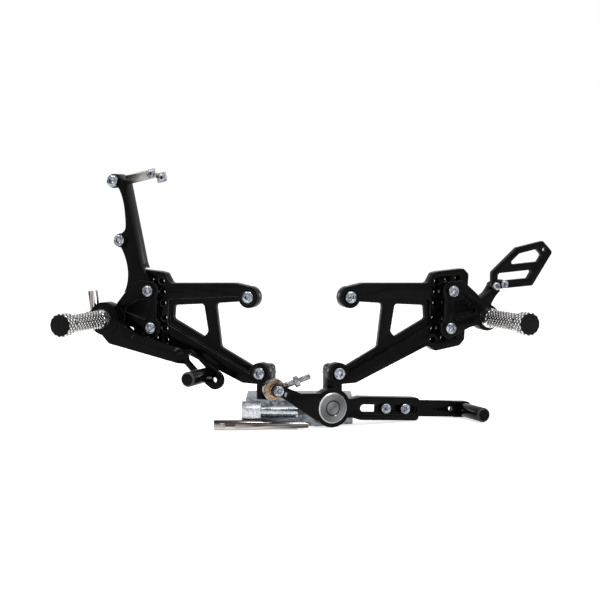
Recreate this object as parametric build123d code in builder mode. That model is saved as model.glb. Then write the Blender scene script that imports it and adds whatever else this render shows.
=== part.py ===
import os
from math import atan2, cos, degrees, radians, sin, tan

from build123d import *

os.makedirs("parts", exist_ok=True)

# Sizes in mm. X runs along the bridge block, Y points away from the viewer, Z up from the block's underside.
# Each side of the pair has its own upright plane, splayed about Z, with its origin on the lower frame bolt.
# In a side plane x runs along the bracket, y is up and z is the outward normal; "back" means towards the rear.
splay = 24.0
lower_bolt_x = 35.8
lower_bolt_y = -27.5
lower_bolt_z = 53.4
running_gap = 0.05
sliding_gap = 0.2
clear_gap = 0.3
bolt_clear = 0.2

# Frame bracket
bracket_t = 10.0
web_t = 5.0
upper_bolt_back = 12.4
upper_bolt_rise = 76.0
lower_boss_r = 10.8
upper_boss_r = 11.0
arm_top_rise = 13.9
arm_under = 5.0
rib_under = 1.2
heel_back = 19.0
heel_drop = 10.2
strut_back = 45.6
strut_w = 13.2
strut_lean = 5.8
window_wall = 7.8
arm_slope = 0.495
arm_edge_rise = 1.8
rib_edge_drop = 6.0
bracket_round = 4.0
window_round = 3.5

# Hole grid of the bracket's rear plate; the peg carrier bolts take the middle hole of each group of nine
grid_back = 122.2
grid_rise = 79.6
group_drop = 37.7
group_lean = 2.9
column_back = 12.2
column_rise = 1.2
row_rise = 11.3
row_back = 0.85
plate_rear = 13.0
plate_rim = 9.8
plate_front = 4.0
plate_cut = 6.0
grid_hole_r = 3.2

# Bolts and screws
m8_r = 4.0
m8_thread_r = 3.6
m8_head_r = 6.1
m8_head_h = 5.0
m8_sunk = 3.0
m8_seat_r = 7.4
m6_r = 3.0
m6_thread_r = 2.65
m6_head_r = 5.8
m6_head_h = 4.0
m5_r = 2.5
m5_head_r = 4.2
m5_head_h = 2.8
frame_stud = 13.0
m8_nut_af = 13.0
m8_nut_h = 4.0

# Bridge block, its ledge, and what lies in front of it
block_w = 108.0
block_d = 70.0
block_h = 26.0
block_round = 4.0
ledge_h = 8.0
ledge_d = 17.0
ledge_end = -2.0
ledge_overhang = 4.0
hex_af = 19.0
hex_len = 19.0
cross_bolt_r = 5.5
cross_bolt_end = -1.0
rod_end_r = 5.0
rod_slim_r = 3.0
rod_left = -84.0
rod_right = 9.0
rod_plain = 30.0
rod_bore_r = 2.55
rod_bore_l = 18.0
rod_flat_start = 11.0
rod_flat_l = 10.0
rod_flats = 8.4

# Posts
post_w = 16.0
post_t = 12.0
post_top = 8.4
post_round = 5.0
post_screw_l = 20.0

# Footpegs and their carriers
peg_back = 164.5
peg_rise = 51.0
carrier_t = 12.0
carrier_ring_r = 10.2
peg_boss_r = 13.5
pocket_depth = 5.0
brake_pocket_depth = 2.0
peg_len = 78.0
peg_base_r = 10.2
peg_base_l = 6.0
peg_waist_r = 9.1
peg_grip_r = 9.4
peg_tip_r = 11.9
peg_tip_l = 12.0
peg_cap_r = 11.2
peg_cap_t = 1.6
peg_plug_r = 8.8
peg_plug_l = 3.0
peg_bolt_r = 5.0
peg_bolt_head_r = 8.0
peg_bolt_head_h = 6.0
peg_thread_l = 34.0

# Heel guard
guard_t = 5.0
guard_screw_back = 9.5
guard_screw_rise = 32.4
guard_screw_pitch = 9.7
guard_screw_tilt = 11.0
guard_edge = 4.7
guard_foot = 3.4
guard_front_h = 18.2
guard_brow_back = 29.7
guard_brow_rise = 43.0
guard_peak_back = 61.6
guard_h = 49.5
guard_len = 73.7
guard_tip_rise = 37.5
guard_heel_back = 49.2
guard_heel_rise = 2.9
guard_bar = 6.8
guard_rear_bar = 9.2
guard_foot_bar = 8.2
guard_tip_bar = 11.3
guard_mid_bar = 7.8
guard_mid_rise = 22.6
guard_mid_tilt = 4.0
guard_hole_back = 63.4
guard_hole_rise = 40.3
guard_hole_r = 2.2
tab_r = 4.6

# Brake side
arm_foot_t = 3.0
brake_plate_t = 3.6
brake_boss_h = 6.4
hub_r = 17.0
hub_w = 13.8
hub_lip = 2.0
hub_step_r = 14.6
hub_step = 1.2
sleeve_r = 10.0
pedal_bush_r = 12.0
pedal_t = 10.0
pedal_recess = 6.0
pedal_slope = 40.0
pedal_start = 1.0
toe_back = 49.9
toe_rise = -1.6
toe_hole_back = 41.0
toe_hole_rise = -6.4
toe_hole_r = 2.7
toe_eye_r = 9.5
toe_slot_r = 4.6
toe_slot_back = 66.8
toe_slot_rise = 14.2
toe_peg_r = 7.4
brake_toe_len = 40.0
tail_back = 22.7
tail_drop = 1.0
tail_r = 7.0
tail_t = 6.0
tail_boss_r = 5.5
pushrod_out = 14.0
pushrod_lean = 8.0
pushrod_r = 5.0
pushrod_l = 28.0
pushrod_eye_r = 6.2
pushrod_eye_t = 6.0
pushrod_pin_r = 3.0
pushrod_bore_r = 2.6
pushrod_bore_l = 15.0
pin_head_r = 4.6
pin_head_h = 2.0
cylinder_top_back = 162.5
cylinder_top_rise = 192.0
cylinder_low_back = 154.9
cylinder_low_rise = 130.9
cylinder_boss_r = 7.3
cylinder_stud = 10.0
strip_t = 2.0
strip_h = 10.0
strip_len = 40.0
strip_tilt = 12.0
strip_eye_r = 7.0
strip_screw_x = 35.0
strip_joggle = 5.0
joggle_len = 9.0
joggle_drop = 6.0
joggle_screw_x = 44.6

# Shift side
pivot_back = -8.9
pivot_rise = -33.5
lever_drop = 4.3
lever_gap = 2.0
lever_t = 12.0
lever_hub_r = 19.5
shoulder_r = 7.5
lever_bush_r = 9.5
washer_r = 8.8
pivot_thread_r = 4.0
pivot_thread_l = 18.0
cap_r = 15.3
cap_t = 4.0
cap_proud = 1.0
lever_body_start = 31.5
lever_body_end = 98.0
lever_body_h = 23.6
lever_neck_h = 19.2
lever_wall = 6.0
ext_h = 16.6
ext_t = 6.0
ext_left = 52.0
ext_right = 160.0
ext_end_t = 9.0
ext_end_l = 22.0
ext_spare_r = 2.6
ext_spare_x = 138.4
ext_screw_x = 60.3
ext_screw_pitch = 22.0
slot_r = 3.7
slot_head_r = 5.9
slot_sunk = 2.5
slot_start = 35.5
slot_stop = 90.0
shift_toe_x = 151.5
shift_toe_len = 42.0
arm_tip_x = -60.2
arm_tip_y = 15.9
arm_tip_r = 6.3
arm_tip_t = 4.0
arm_spare_x = -51.5
arm_spare_y = 12.6
arm_spare_r = 2.4

# Rod end
eye_r = 11.2
eye_t = 6.0
race_r = 9.3
ball_r = 6.2
ball_w = 13.0
ball_spigot_r = 4.2
stud_l = 38.0
stud_neck_r = 3.2
stud_neck_l = 15.0
stud_rise = 19.5
stud_swing = 15.0
locknut_at = 21.0
locknut_t = 5.0
locknut_af = 10.0
rod_bolt_head_r = 5.4
rod_bolt_head_h = 2.5
rod_nut_t = 4.0

lean = radians(splay)
drop = radians(lever_drop)
shift_side = Plane(
    origin=(lower_bolt_x, lower_bolt_y, lower_bolt_z),
    x_dir=(cos(lean), sin(lean), 0),
    z_dir=(sin(lean), -cos(lean), 0),
)
brake_side = Plane(
    origin=(-lower_bolt_x, lower_bolt_y, lower_bolt_z),
    x_dir=(cos(lean), -sin(lean), 0),
    z_dir=(-sin(lean), -cos(lean), 0),
)


def spot(side, back, rise, out):
    # A plane parallel to a side plane, its origin moved along the bracket, up and outwards
    hand = 1 if side is shift_side else -1
    return Plane(
        origin=side.from_local_coords(Vector(hand * back, rise, out)),
        x_dir=side.x_dir,
        z_dir=side.z_dir,
    )


def flip(points):
    return [(-x, y) for x, y in points]


def cap_bolt(place, head_r, head_h, shank_r, shank_l):
    # Round head above the place, shank below it
    with BuildPart() as bolt:
        with BuildSketch(place):
            Circle(head_r)
        extrude(amount=head_h)
        with BuildSketch(place):
            Circle(shank_r)
        extrude(amount=-shank_l)
    return bolt.part


def stud_bolt(place, head_r, head_h, grip_r, grip_l, thread_r, thread_l):
    # A cap bolt whose free end beyond the grip is threaded a little smaller
    with BuildPart() as bolt:
        add(cap_bolt(place, head_r, head_h, grip_r, grip_l))
        with BuildSketch(place.offset(-grip_l)):
            Circle(thread_r)
        extrude(amount=-thread_l)
    return bolt.part


def hex_nut(place, flats, height, bore_r):
    with BuildPart() as nut:
        with BuildSketch(place):
            RegularPolygon(flats / 2, 6, major_radius=False)
            Circle(bore_r, mode=Mode.SUBTRACT)
        extrude(amount=height)
    return nut.part


def rounded(points, radius):
    with BuildSketch() as face:
        with BuildLine():
            Polyline(*points, close=True)
        make_face()
        fillet(face.vertices(), radius)
    return face.sketch


def inset(points, bars):
    # Corners of the opening left inside a clockwise outline when each of its edges has its own bar width
    edges = []
    for start, end, bar in zip(points, points[1:] + points[:1], bars):
        along = (Vector(*end) - Vector(*start)).normalized()
        edges.append((Vector(*start) + Vector(along.Y, -along.X) * bar, along))
    corners = []
    for (first, along), (second, across) in zip(edges[-1:] + edges[:-1], edges):
        reach = (second - first).cross(across).Z / along.cross(across).Z
        corner = first + along * reach
        corners.append((corner.X, corner.Y))
    return corners


def turned(place, profile):
    # A round piece turned about the place's normal, from (radius, height) points
    axis_plane = Plane(origin=place.origin, x_dir=place.x_dir, z_dir=-place.y_dir)
    with BuildPart() as piece:
        with BuildSketch(axis_plane):
            with BuildLine():
                Polyline(*profile, close=True)
            make_face()
        revolve(axis=Axis(place.origin, place.z_dir))
    return piece.part


# The bracket's outline, its front opening, its window and the shallow recess between the two ribs
upper_grid = (grid_back, grid_rise)
lower_grid = (grid_back - group_lean, grid_rise - group_drop)
grid_points = []
for group in (upper_grid, lower_grid):
    for column in (-1, 0, 1):
        for row in (-1, 0, 1):
            grid_points.append((
                group[0] + column * column_back + row * row_back,
                group[1] + column * column_rise + row * row_rise,
            ))
top_front = (upper_grid[0] - column_back + row_back, upper_grid[1] - column_rise + row_rise)
top_rear = (upper_grid[0] + column_back + row_back, upper_grid[1] + column_rise + row_rise)
low_front = (lower_grid[0] - column_back - row_back, lower_grid[1] - column_rise - row_rise)
low_rear = (lower_grid[0] + column_back - row_back, lower_grid[1] + column_rise - row_rise)
under_line = upper_bolt_rise - arm_under
window_rear = top_front[0] - plate_front - window_wall
bracket_points = [
    (0, -lower_boss_r),
    (heel_back, -heel_drop),
    (low_front[0] - plate_cut, low_front[1] - plate_rim + 4),
    (low_front[0] + plate_cut / 2, low_front[1] - plate_rim - 1.8),
    (low_rear[0] + plate_rear - plate_cut, low_rear[1] - plate_rim),
    (low_rear[0] + plate_rear, low_rear[1] - plate_rim + plate_cut),
    (top_rear[0] + plate_rear, top_rear[1] + plate_rim - plate_cut),
    (top_rear[0] + plate_rear - plate_cut, top_rear[1] + plate_rim),
    (top_front[0] - plate_front + plate_cut, top_front[1] + plate_rim),
    (top_front[0] - plate_front, top_front[1] + plate_rim - 1.5),
    (top_front[0] - plate_front - plate_cut, upper_bolt_rise + arm_top_rise - 2),
    (upper_bolt_back + upper_boss_r + 4, upper_bolt_rise + arm_top_rise),
    (upper_bolt_back, upper_bolt_rise + upper_boss_r),
    (upper_bolt_back, upper_bolt_rise),
    (0, 0),
]
gap_points = [
    (-lower_boss_r, under_line + 3),
    (strut_back + strut_lean, under_line - 2.5),
    (strut_back, arm_edge_rise + strut_back * arm_slope),
    (-lower_boss_r, arm_edge_rise - lower_boss_r * arm_slope),
]
window_front = strut_back + strut_w
window_points = [
    (window_front + strut_lean, under_line - 3.5),
    (window_rear, under_line - 6),
    (window_rear + 1, arm_edge_rise + (window_rear + 1) * arm_slope),
    (window_front + strut_lean, arm_edge_rise + (window_front + strut_lean) * arm_slope),
    (window_front + 1, arm_edge_rise + (window_front + 1) * arm_slope + 8),
]
recess_points = [
    (-2 * lower_boss_r, upper_bolt_rise + rib_under + 2),
    (window_rear + 3.5, upper_bolt_rise - rib_under * 4),
    (window_rear + 5, (window_rear + 5) * arm_slope - rib_edge_drop),
    (-2 * lower_boss_r, -2 * lower_boss_r * arm_slope - rib_edge_drop),
]
bracket_outline = rounded(bracket_points, bracket_round)
front_gap = rounded(gap_points, bracket_round)
window = rounded(window_points, window_round)
rib_recess = rounded(recess_points, bracket_round)
m8_hole_r = m8_r + bolt_clear
m6_hole_r = m6_r + bolt_clear
m5_hole_r = m5_r + bolt_clear

with BuildPart() as shift_bracket:
    with BuildSketch(shift_side):
        add(bracket_outline)
        add(front_gap, mode=Mode.SUBTRACT)
        add(window, mode=Mode.SUBTRACT)
        Circle(lower_boss_r)
        with Locations((upper_bolt_back, upper_bolt_rise)):
            Circle(upper_boss_r)
    extrude(amount=web_t)
    with BuildSketch(shift_side.offset(web_t)):
        add(bracket_outline)
        add(rib_recess, mode=Mode.SUBTRACT)
        Circle(lower_boss_r)
        with Locations((upper_bolt_back, upper_bolt_rise)):
            Circle(upper_boss_r)
    extrude(amount=bracket_t - web_t)
    with BuildSketch(shift_side):
        with Locations((0, 0), (upper_bolt_back, upper_bolt_rise)):
            Circle(m8_hole_r)
        with Locations(*grid_points):
            Circle(grid_hole_r)
    extrude(amount=bracket_t, mode=Mode.SUBTRACT)
    with BuildSketch(shift_side.offset(bracket_t - m8_sunk)):
        with Locations((0, 0), (upper_bolt_back, upper_bolt_rise)):
            Circle(m8_seat_r)
    extrude(amount=m8_sunk, mode=Mode.SUBTRACT)
shift_bracket.part.label = "shift_bracket"
export_step(shift_bracket.part, "parts/shift_bracket.step")

with BuildPart() as brake_bracket:
    mirror(shift_bracket.part, about=Plane.YZ)
brake_bracket.part.label = "brake_bracket"
export_step(brake_bracket.part, "parts/brake_bracket.step")

# Bridge block: two front facets lie in the side planes, so the posts stand flush with them
facet_run = tan(lean)
apex_y = lower_bolt_y - lower_bolt_x * facet_run
front_y = -block_d / 2
front_half = (front_y - apex_y) / facet_run
corner_y = apex_y + block_w / 2 * facet_run
hex_left = -block_w / 2 - ledge_overhang
hex_y = front_y - ledge_d / 2
hex_r = hex_af / 2 / cos(radians(30))
hex_z = ledge_h + 8
groove_rise = hex_r - 8
ledge_front = front_y - ledge_d
post_foot = spot(shift_side, 0, block_h - lower_bolt_z, -post_t / 2).origin

with BuildPart() as bridge_block:
    with BuildSketch():
        with BuildLine():
            Polyline(
                (-block_w / 2, block_d / 2),
                (-block_w / 2, corner_y),
                (-front_half, front_y),
                (front_half, front_y),
                (block_w / 2, corner_y),
                (block_w / 2, block_d / 2),
                close=True,
            )
        make_face()
    extrude(amount=block_h)
    fillet(bridge_block.edges().filter_by(Axis.Z).sort_by(Axis.Y)[-2:], block_round)
    with BuildSketch():
        with BuildLine():
            Polyline(
                (hex_left, ledge_front),
                (ledge_end, ledge_front),
                (ledge_end, front_y),
                (-front_half, front_y),
                (-block_w / 2, corner_y),
                (hex_left, corner_y),
                close=True,
            )
        make_face()
    extrude(amount=ledge_h)
    with BuildSketch(Plane.YZ.offset(hex_left)):
        with BuildLine():
            Polyline(
                (hex_y, ledge_h - groove_rise),
                (hex_y + groove_rise * tan(radians(60)), ledge_h),
                (hex_y - groove_rise * tan(radians(60)), ledge_h),
                close=True,
            )
        make_face()
    extrude(amount=ledge_end - hex_left, mode=Mode.SUBTRACT)
    with BuildSketch():
        with Locations((post_foot.X, post_foot.Y), (-post_foot.X, post_foot.Y)):
            Circle(m6_hole_r)
    extrude(amount=block_h, mode=Mode.SUBTRACT)
    with BuildSketch():
        with Locations((post_foot.X, post_foot.Y), (-post_foot.X, post_foot.Y)):
            Circle(m6_head_r + clear_gap)
    extrude(amount=m6_head_h + clear_gap, mode=Mode.SUBTRACT)
    with BuildSketch(spot(shift_side, pivot_back, pivot_rise, 0)):
        Circle(pivot_thread_r + bolt_clear)
    extrude(amount=-pivot_thread_l - 1, mode=Mode.SUBTRACT)
bridge_block.part.label = "bridge_block"
export_step(bridge_block.part, "parts/bridge_block.step")

# The hex head sits in the ledge's V groove, a flat towards the front; the shank runs along the block
with BuildPart() as cross_bolt:
    with BuildSketch(Plane.YZ.offset(hex_left + 1)):
        with Locations((hex_y, hex_z)):
            RegularPolygon(hex_r, 6, rotation=90)
    extrude(amount=hex_len)
    with BuildSketch(Plane.YZ.offset(hex_left + 1)):
        with Locations((hex_y, hex_z)):
            Circle(cross_bolt_r)
    extrude(amount=cross_bolt_end - hex_left - 1)
cross_bolt.part.label = "cross_bolt"
export_step(cross_bolt.part, "parts/cross_bolt.step")

rod_place = Plane(
    origin=(rod_left, ledge_front - rod_end_r - clear_gap, rod_end_r),
    x_dir=(0, 0, 1),
    z_dir=(1, 0, 0),
)
rod_len = rod_right - rod_left
with BuildPart() as shift_rod:
    add(turned(rod_place, [
        (0, rod_bore_l),
        (rod_bore_r, rod_bore_l),
        (rod_bore_r, 0),
        (rod_end_r, 0),
        (rod_end_r, rod_plain),
        (rod_slim_r, rod_len),
        (0, rod_len),
    ]))
    with BuildSketch(rod_place.offset(rod_flat_start)):
        Circle(rod_end_r + 1)
        Rectangle(2 * rod_end_r + 2, rod_flats, mode=Mode.SUBTRACT)
    extrude(amount=rod_flat_l, mode=Mode.SUBTRACT)
shift_rod.part.label = "shift_rod"
export_step(shift_rod.part, "parts/shift_rod.step")

# Posts
post_h = lower_bolt_z - block_h
with BuildPart() as shift_post:
    with BuildSketch(shift_side) as post_face:
        with BuildLine():
            Polyline(
                (-post_w / 2, -post_h),
                (post_w / 2, -post_h),
                (post_w / 2, post_top),
                (-post_w / 2, post_top),
                close=True,
            )
        make_face()
        fillet(post_face.vertices().sort_by(Axis.Y)[-2:], post_round)
        Circle(m8_hole_r, mode=Mode.SUBTRACT)
    extrude(amount=-post_t)
    with BuildSketch(Plane.XY.offset(block_h)):
        with Locations((post_foot.X, post_foot.Y)):
            Circle(m6_hole_r)
    extrude(amount=post_screw_l - block_h + m6_head_h + block_h / 2, mode=Mode.SUBTRACT)
shift_post.part.label = "shift_post"
export_step(shift_post.part, "parts/shift_post.step")

with BuildPart() as brake_post:
    mirror(shift_post.part, about=Plane.YZ)
brake_post.part.label = "brake_post"
export_step(brake_post.part, "parts/brake_post.step")

screw_reach = block_h - m6_head_h - clear_gap + post_screw_l - block_h + m6_head_h + block_h / 2 - 1
with BuildPart() as post_screws:
    for hand in (-1, 1):
        seat = Plane(
            origin=(hand * post_foot.X, post_foot.Y, m6_head_h + clear_gap),
            x_dir=(1, 0, 0),
            z_dir=(0, 0, -1),
        )
        add(cap_bolt(seat, m6_head_r, m6_head_h, m6_r, screw_reach))
post_screws.part.label = "post_screws"
export_step(post_screws.part, "parts/post_screws.step")

with BuildPart() as lower_frame_bolts:
    for side in (brake_side, shift_side):
        seat = spot(side, 0, 0, bracket_t - m8_sunk)
        add(cap_bolt(seat, m8_head_r, m8_head_h, m8_r, bracket_t - m8_sunk + post_t + m8_nut_h + 0.5))
lower_frame_bolts.part.label = "lower_frame_bolts"
export_step(lower_frame_bolts.part, "parts/lower_frame_bolts.step")

with BuildPart() as post_nuts:
    for side in (brake_side, shift_side):
        add(hex_nut(spot(side, 0, 0, -post_t - m8_nut_h), m8_nut_af, m8_nut_h, m8_hole_r))
post_nuts.part.label = "post_nuts"
export_step(post_nuts.part, "parts/post_nuts.step")

with BuildPart() as upper_frame_bolts:
    for side in (brake_side, shift_side):
        seat = spot(side, upper_bolt_back, upper_bolt_rise, bracket_t - m8_sunk)
        add(stud_bolt(seat, m8_head_r, m8_head_h, m8_r, bracket_t - m8_sunk, m8_thread_r, frame_stud))
upper_frame_bolts.part.label = "upper_frame_bolts"
export_step(upper_frame_bolts.part, "parts/upper_frame_bolts.step")

# Peg carriers: two bolt rings, a round boss for the peg, and a triangular pocket
carrier_brow = (upper_grid[0] + 12.4, upper_grid[1] + carrier_ring_r + 0.4)
carrier_slope = (peg_back - 13.3, peg_rise + 25.5)
carrier_points = [
    (upper_grid[0] - 2, upper_grid[1] + carrier_ring_r),
    carrier_brow,
    carrier_slope,
    (peg_back - 4.2, peg_rise + 14.9),
    (peg_back, peg_rise - 12),
    (peg_back - 12.5, peg_rise - 7.5),
    (lower_grid[0] + 24, lower_grid[1]),
    (lower_grid[0] + 12, lower_grid[1] - 5),
    (lower_grid[0] + 1, lower_grid[1] - carrier_ring_r + 0.3),
    (lower_grid[0] - 6, lower_grid[1] - 5),
    (upper_grid[0] - 8, upper_grid[1] + 4),
]
pocket_points = [
    (upper_grid[0] + 0.6, upper_grid[1] - 9),
    (upper_grid[0] + 12.4, upper_grid[1] - 8.3),
    (peg_back - peg_boss_r - 0.8, peg_rise + 10.5),
    (peg_back - peg_boss_r - 0.2, peg_rise + 6.3),
    (lower_grid[0] + 7.3, lower_grid[1] + 8.1),
    (lower_grid[0] + 4.9, lower_grid[1] + 13.3),
]
carrier_front = bracket_t + carrier_t
guard_back = carrier_front - guard_t
guard_a = (peg_back + guard_screw_back, peg_rise + guard_screw_rise)
guard_b = (
    guard_a[0] + guard_screw_pitch * cos(radians(guard_screw_tilt)),
    guard_a[1] + guard_screw_pitch * sin(radians(guard_screw_tilt)),
)
guard_x = guard_a[0] - guard_edge
guard_y = guard_a[1] - guard_foot

with BuildPart() as shift_carrier:
    with BuildSketch(shift_side.offset(bracket_t)):
        add(rounded(carrier_points, 1.8))
        with Locations(upper_grid, lower_grid):
            Circle(carrier_ring_r)
        with Locations((peg_back, peg_rise)):
            Circle(peg_boss_r)
        add(rounded([
            (peg_back - 9, peg_rise + 10),
            (peg_back - 8, peg_rise + 20.5),
            (guard_x - 1, guard_y - clear_gap),
            (guard_x + 11, guard_y - clear_gap),
            (guard_x + 4.8, peg_rise + 22.5),
            (peg_back + 4.5, peg_rise + 15),
            (peg_back + 4, peg_rise + 8),
        ], 1))
    extrude(amount=carrier_t)
    with BuildSketch(shift_side.offset(bracket_t)):
        add(rounded([
            (peg_back - 6, peg_rise + 18),
            (guard_a[0] - tab_r + 0.6, guard_a[1] + 1),
            (guard_b[0] - 2, guard_b[1] - tab_r + 0.6),
            (peg_back + 5, peg_rise + 16),
        ], 1))
        with Locations(((guard_a[0] + guard_b[0]) / 2, (guard_a[1] + guard_b[1]) / 2)):
            SlotCenterToCenter(guard_screw_pitch, 2 * tab_r, rotation=guard_screw_tilt)
    extrude(amount=carrier_t - guard_t)
    with BuildSketch(shift_side.offset(bracket_t)):
        with Locations(upper_grid, lower_grid):
            Circle(m6_hole_r)
        with Locations((peg_back, peg_rise)):
            Circle(peg_bolt_r + bolt_clear)
        with Locations(guard_a, guard_b):
            Circle(m5_hole_r)
    extrude(amount=carrier_t, mode=Mode.SUBTRACT)
    with BuildSketch(shift_side.offset(carrier_front - pocket_depth)):
        add(rounded(pocket_points, 1.6))
    extrude(amount=pocket_depth, mode=Mode.SUBTRACT)
shift_carrier.part.label = "shift_carrier"
export_step(shift_carrier.part, "parts/shift_carrier.step")

brake_back = bracket_t + arm_foot_t
brake_front = brake_back + brake_plate_t
boss_front = brake_front + brake_boss_h
with BuildPart() as brake_carrier:
    with BuildSketch(brake_side.offset(brake_back)):
        add(rounded(flip(carrier_points), 1.8))
        with Locations(*flip([upper_grid, lower_grid])):
            Circle(carrier_ring_r)
    extrude(amount=brake_plate_t)
    with BuildSketch(brake_side.offset(brake_back)):
        with Locations((-peg_back, peg_rise)):
            Circle(peg_boss_r)
    extrude(amount=boss_front - brake_back)
    with BuildSketch(brake_side.offset(brake_back)):
        with Locations(*flip([upper_grid, lower_grid])):
            Circle(m6_hole_r)
        with Locations((-peg_back, peg_rise)):
            Circle(peg_bolt_r + bolt_clear)
    extrude(amount=boss_front - brake_back, mode=Mode.SUBTRACT)
    with BuildSketch(brake_side.offset(brake_front - brake_pocket_depth)):
        add(rounded(flip(pocket_points), 1.6))
    extrude(amount=brake_pocket_depth, mode=Mode.SUBTRACT)
brake_carrier.part.label = "brake_carrier"
export_step(brake_carrier.part, "parts/brake_carrier.step")

with BuildPart() as shift_carrier_bolts:
    for point in (upper_grid, lower_grid):
        seat = spot(shift_side, point[0], point[1], carrier_front)
        add(cap_bolt(seat, m6_head_r, m6_head_h, m6_r, carrier_t + bracket_t))
shift_carrier_bolts.part.label = "shift_carrier_bolts"
export_step(shift_carrier_bolts.part, "parts/shift_carrier_bolts.step")

with BuildPart() as brake_carrier_bolts:
    for point in (upper_grid, lower_grid):
        seat = spot(brake_side, point[0], point[1], brake_front)
        add(cap_bolt(seat, m6_head_r, m6_head_h, m6_r, brake_front))
brake_carrier_bolts.part.label = "brake_carrier_bolts"
export_step(brake_carrier_bolts.part, "parts/brake_carrier_bolts.step")

# Footpegs, turned: a plain base, a waist, the grip and a wider tip closed by a flanged plug
peg_profile = [
    (peg_bolt_r + bolt_clear, 0),
    (peg_base_r, 0),
    (peg_base_r, peg_base_l),
    (peg_waist_r, peg_base_l + 3),
    (peg_grip_r, peg_base_l + 12),
    (peg_grip_r, peg_len - peg_tip_l - 6),
    (peg_tip_r, peg_len - peg_tip_l),
    (peg_tip_r, peg_len - 1),
    (peg_tip_r - 0.5, peg_len),
    (peg_plug_r + clear_gap, peg_len),
    (peg_plug_r + clear_gap, peg_len - peg_plug_l - clear_gap),
    (0, peg_len - peg_plug_l - clear_gap),
    (0, peg_thread_l + 1),
    (peg_bolt_r + bolt_clear, peg_thread_l + 1),
]
cap_profile = [
    (0, -peg_plug_l),
    (peg_plug_r, -peg_plug_l),
    (peg_plug_r, 0),
    (peg_cap_r, 0),
    (peg_cap_r, peg_cap_t - 1),
    (peg_cap_r - 1, peg_cap_t),
    (0, peg_cap_t),
]
brake_peg_seat = boss_front + hub_w + 2 * clear_gap
shift_peg_place = spot(shift_side, peg_back, peg_rise, carrier_front)
brake_peg_place = spot(brake_side, peg_back, peg_rise, brake_peg_seat)

with BuildPart() as shift_footpeg:
    add(turned(shift_peg_place, peg_profile))
shift_footpeg.part.label = "shift_footpeg"
export_step(shift_footpeg.part, "parts/shift_footpeg.step")

with BuildPart() as brake_footpeg:
    add(turned(brake_peg_place, peg_profile))
brake_footpeg.part.label = "brake_footpeg"
export_step(brake_footpeg.part, "parts/brake_footpeg.step")

with BuildPart() as shift_peg_cap:
    add(turned(shift_peg_place.offset(peg_len), cap_profile))
shift_peg_cap.part.label = "shift_peg_cap"
export_step(shift_peg_cap.part, "parts/shift_peg_cap.step")

with BuildPart() as brake_peg_cap:
    add(turned(brake_peg_place.offset(peg_len), cap_profile))
brake_peg_cap.part.label = "brake_peg_cap"
export_step(brake_peg_cap.part, "parts/brake_peg_cap.step")

with BuildPart() as shift_peg_bolt:
    seat = spot(shift_side, peg_back, peg_rise, bracket_t)
    add(cap_bolt(seat, peg_bolt_head_r, -peg_bolt_head_h, peg_bolt_r, -carrier_t - peg_thread_l))
shift_peg_bolt.part.label = "shift_peg_bolt"
export_step(shift_peg_bolt.part, "parts/shift_peg_bolt.step")

with BuildPart() as brake_peg_bolt:
    seat = spot(brake_side, peg_back, peg_rise, brake_back)
    reach = brake_peg_seat - brake_back + peg_thread_l
    add(cap_bolt(seat, peg_bolt_head_r, -peg_bolt_head_h, peg_bolt_r, -reach))
brake_peg_bolt.part.label = "brake_peg_bolt"
export_step(brake_peg_bolt.part, "parts/brake_peg_bolt.step")

# Heel guard: a plate on the front of the carrier's tab, with two windows parted by a bar, and one small hole
guard_points = [
    (guard_x, guard_y),
    (guard_x, guard_y + guard_front_h),
    (guard_x + guard_brow_back, guard_y + guard_brow_rise),
    (guard_x + guard_peak_back, guard_y + guard_h),
    (guard_x + guard_len, guard_y + guard_tip_rise),
    (guard_x + guard_heel_back, guard_y + guard_heel_rise),
]
guard_bars = [guard_bar, guard_bar, guard_bar, guard_tip_bar, guard_rear_bar, guard_foot_bar]
with BuildSketch() as guard_windows:
    with BuildLine():
        Polyline(*inset(guard_points, guard_bars), close=True)
    make_face()
    with Locations((guard_x + guard_len / 2, guard_y + guard_mid_rise)):
        Rectangle(guard_len, guard_mid_bar, rotation=guard_mid_tilt, mode=Mode.SUBTRACT)
    fillet(guard_windows.vertices(), 2)

with BuildPart() as heel_guard:
    with BuildSketch(shift_side.offset(guard_back)):
        add(rounded(guard_points, 3))
        add(guard_windows.sketch, mode=Mode.SUBTRACT)
        with Locations(guard_a, guard_b):
            Circle(m5_hole_r, mode=Mode.SUBTRACT)
        with Locations((guard_x + guard_hole_back, guard_y + guard_hole_rise)):
            Circle(guard_hole_r, mode=Mode.SUBTRACT)
    extrude(amount=guard_t)
heel_guard.part.label = "heel_guard"
export_step(heel_guard.part, "parts/heel_guard.step")

with BuildPart() as heel_guard_screws:
    for point in (guard_a, guard_b):
        seat = spot(shift_side, point[0], point[1], carrier_front)
        add(cap_bolt(seat, m5_head_r, m5_head_h, m5_r, carrier_t))
heel_guard_screws.part.label = "heel_guard_screws"
export_step(heel_guard_screws.part, "parts/heel_guard_screws.step")

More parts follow.
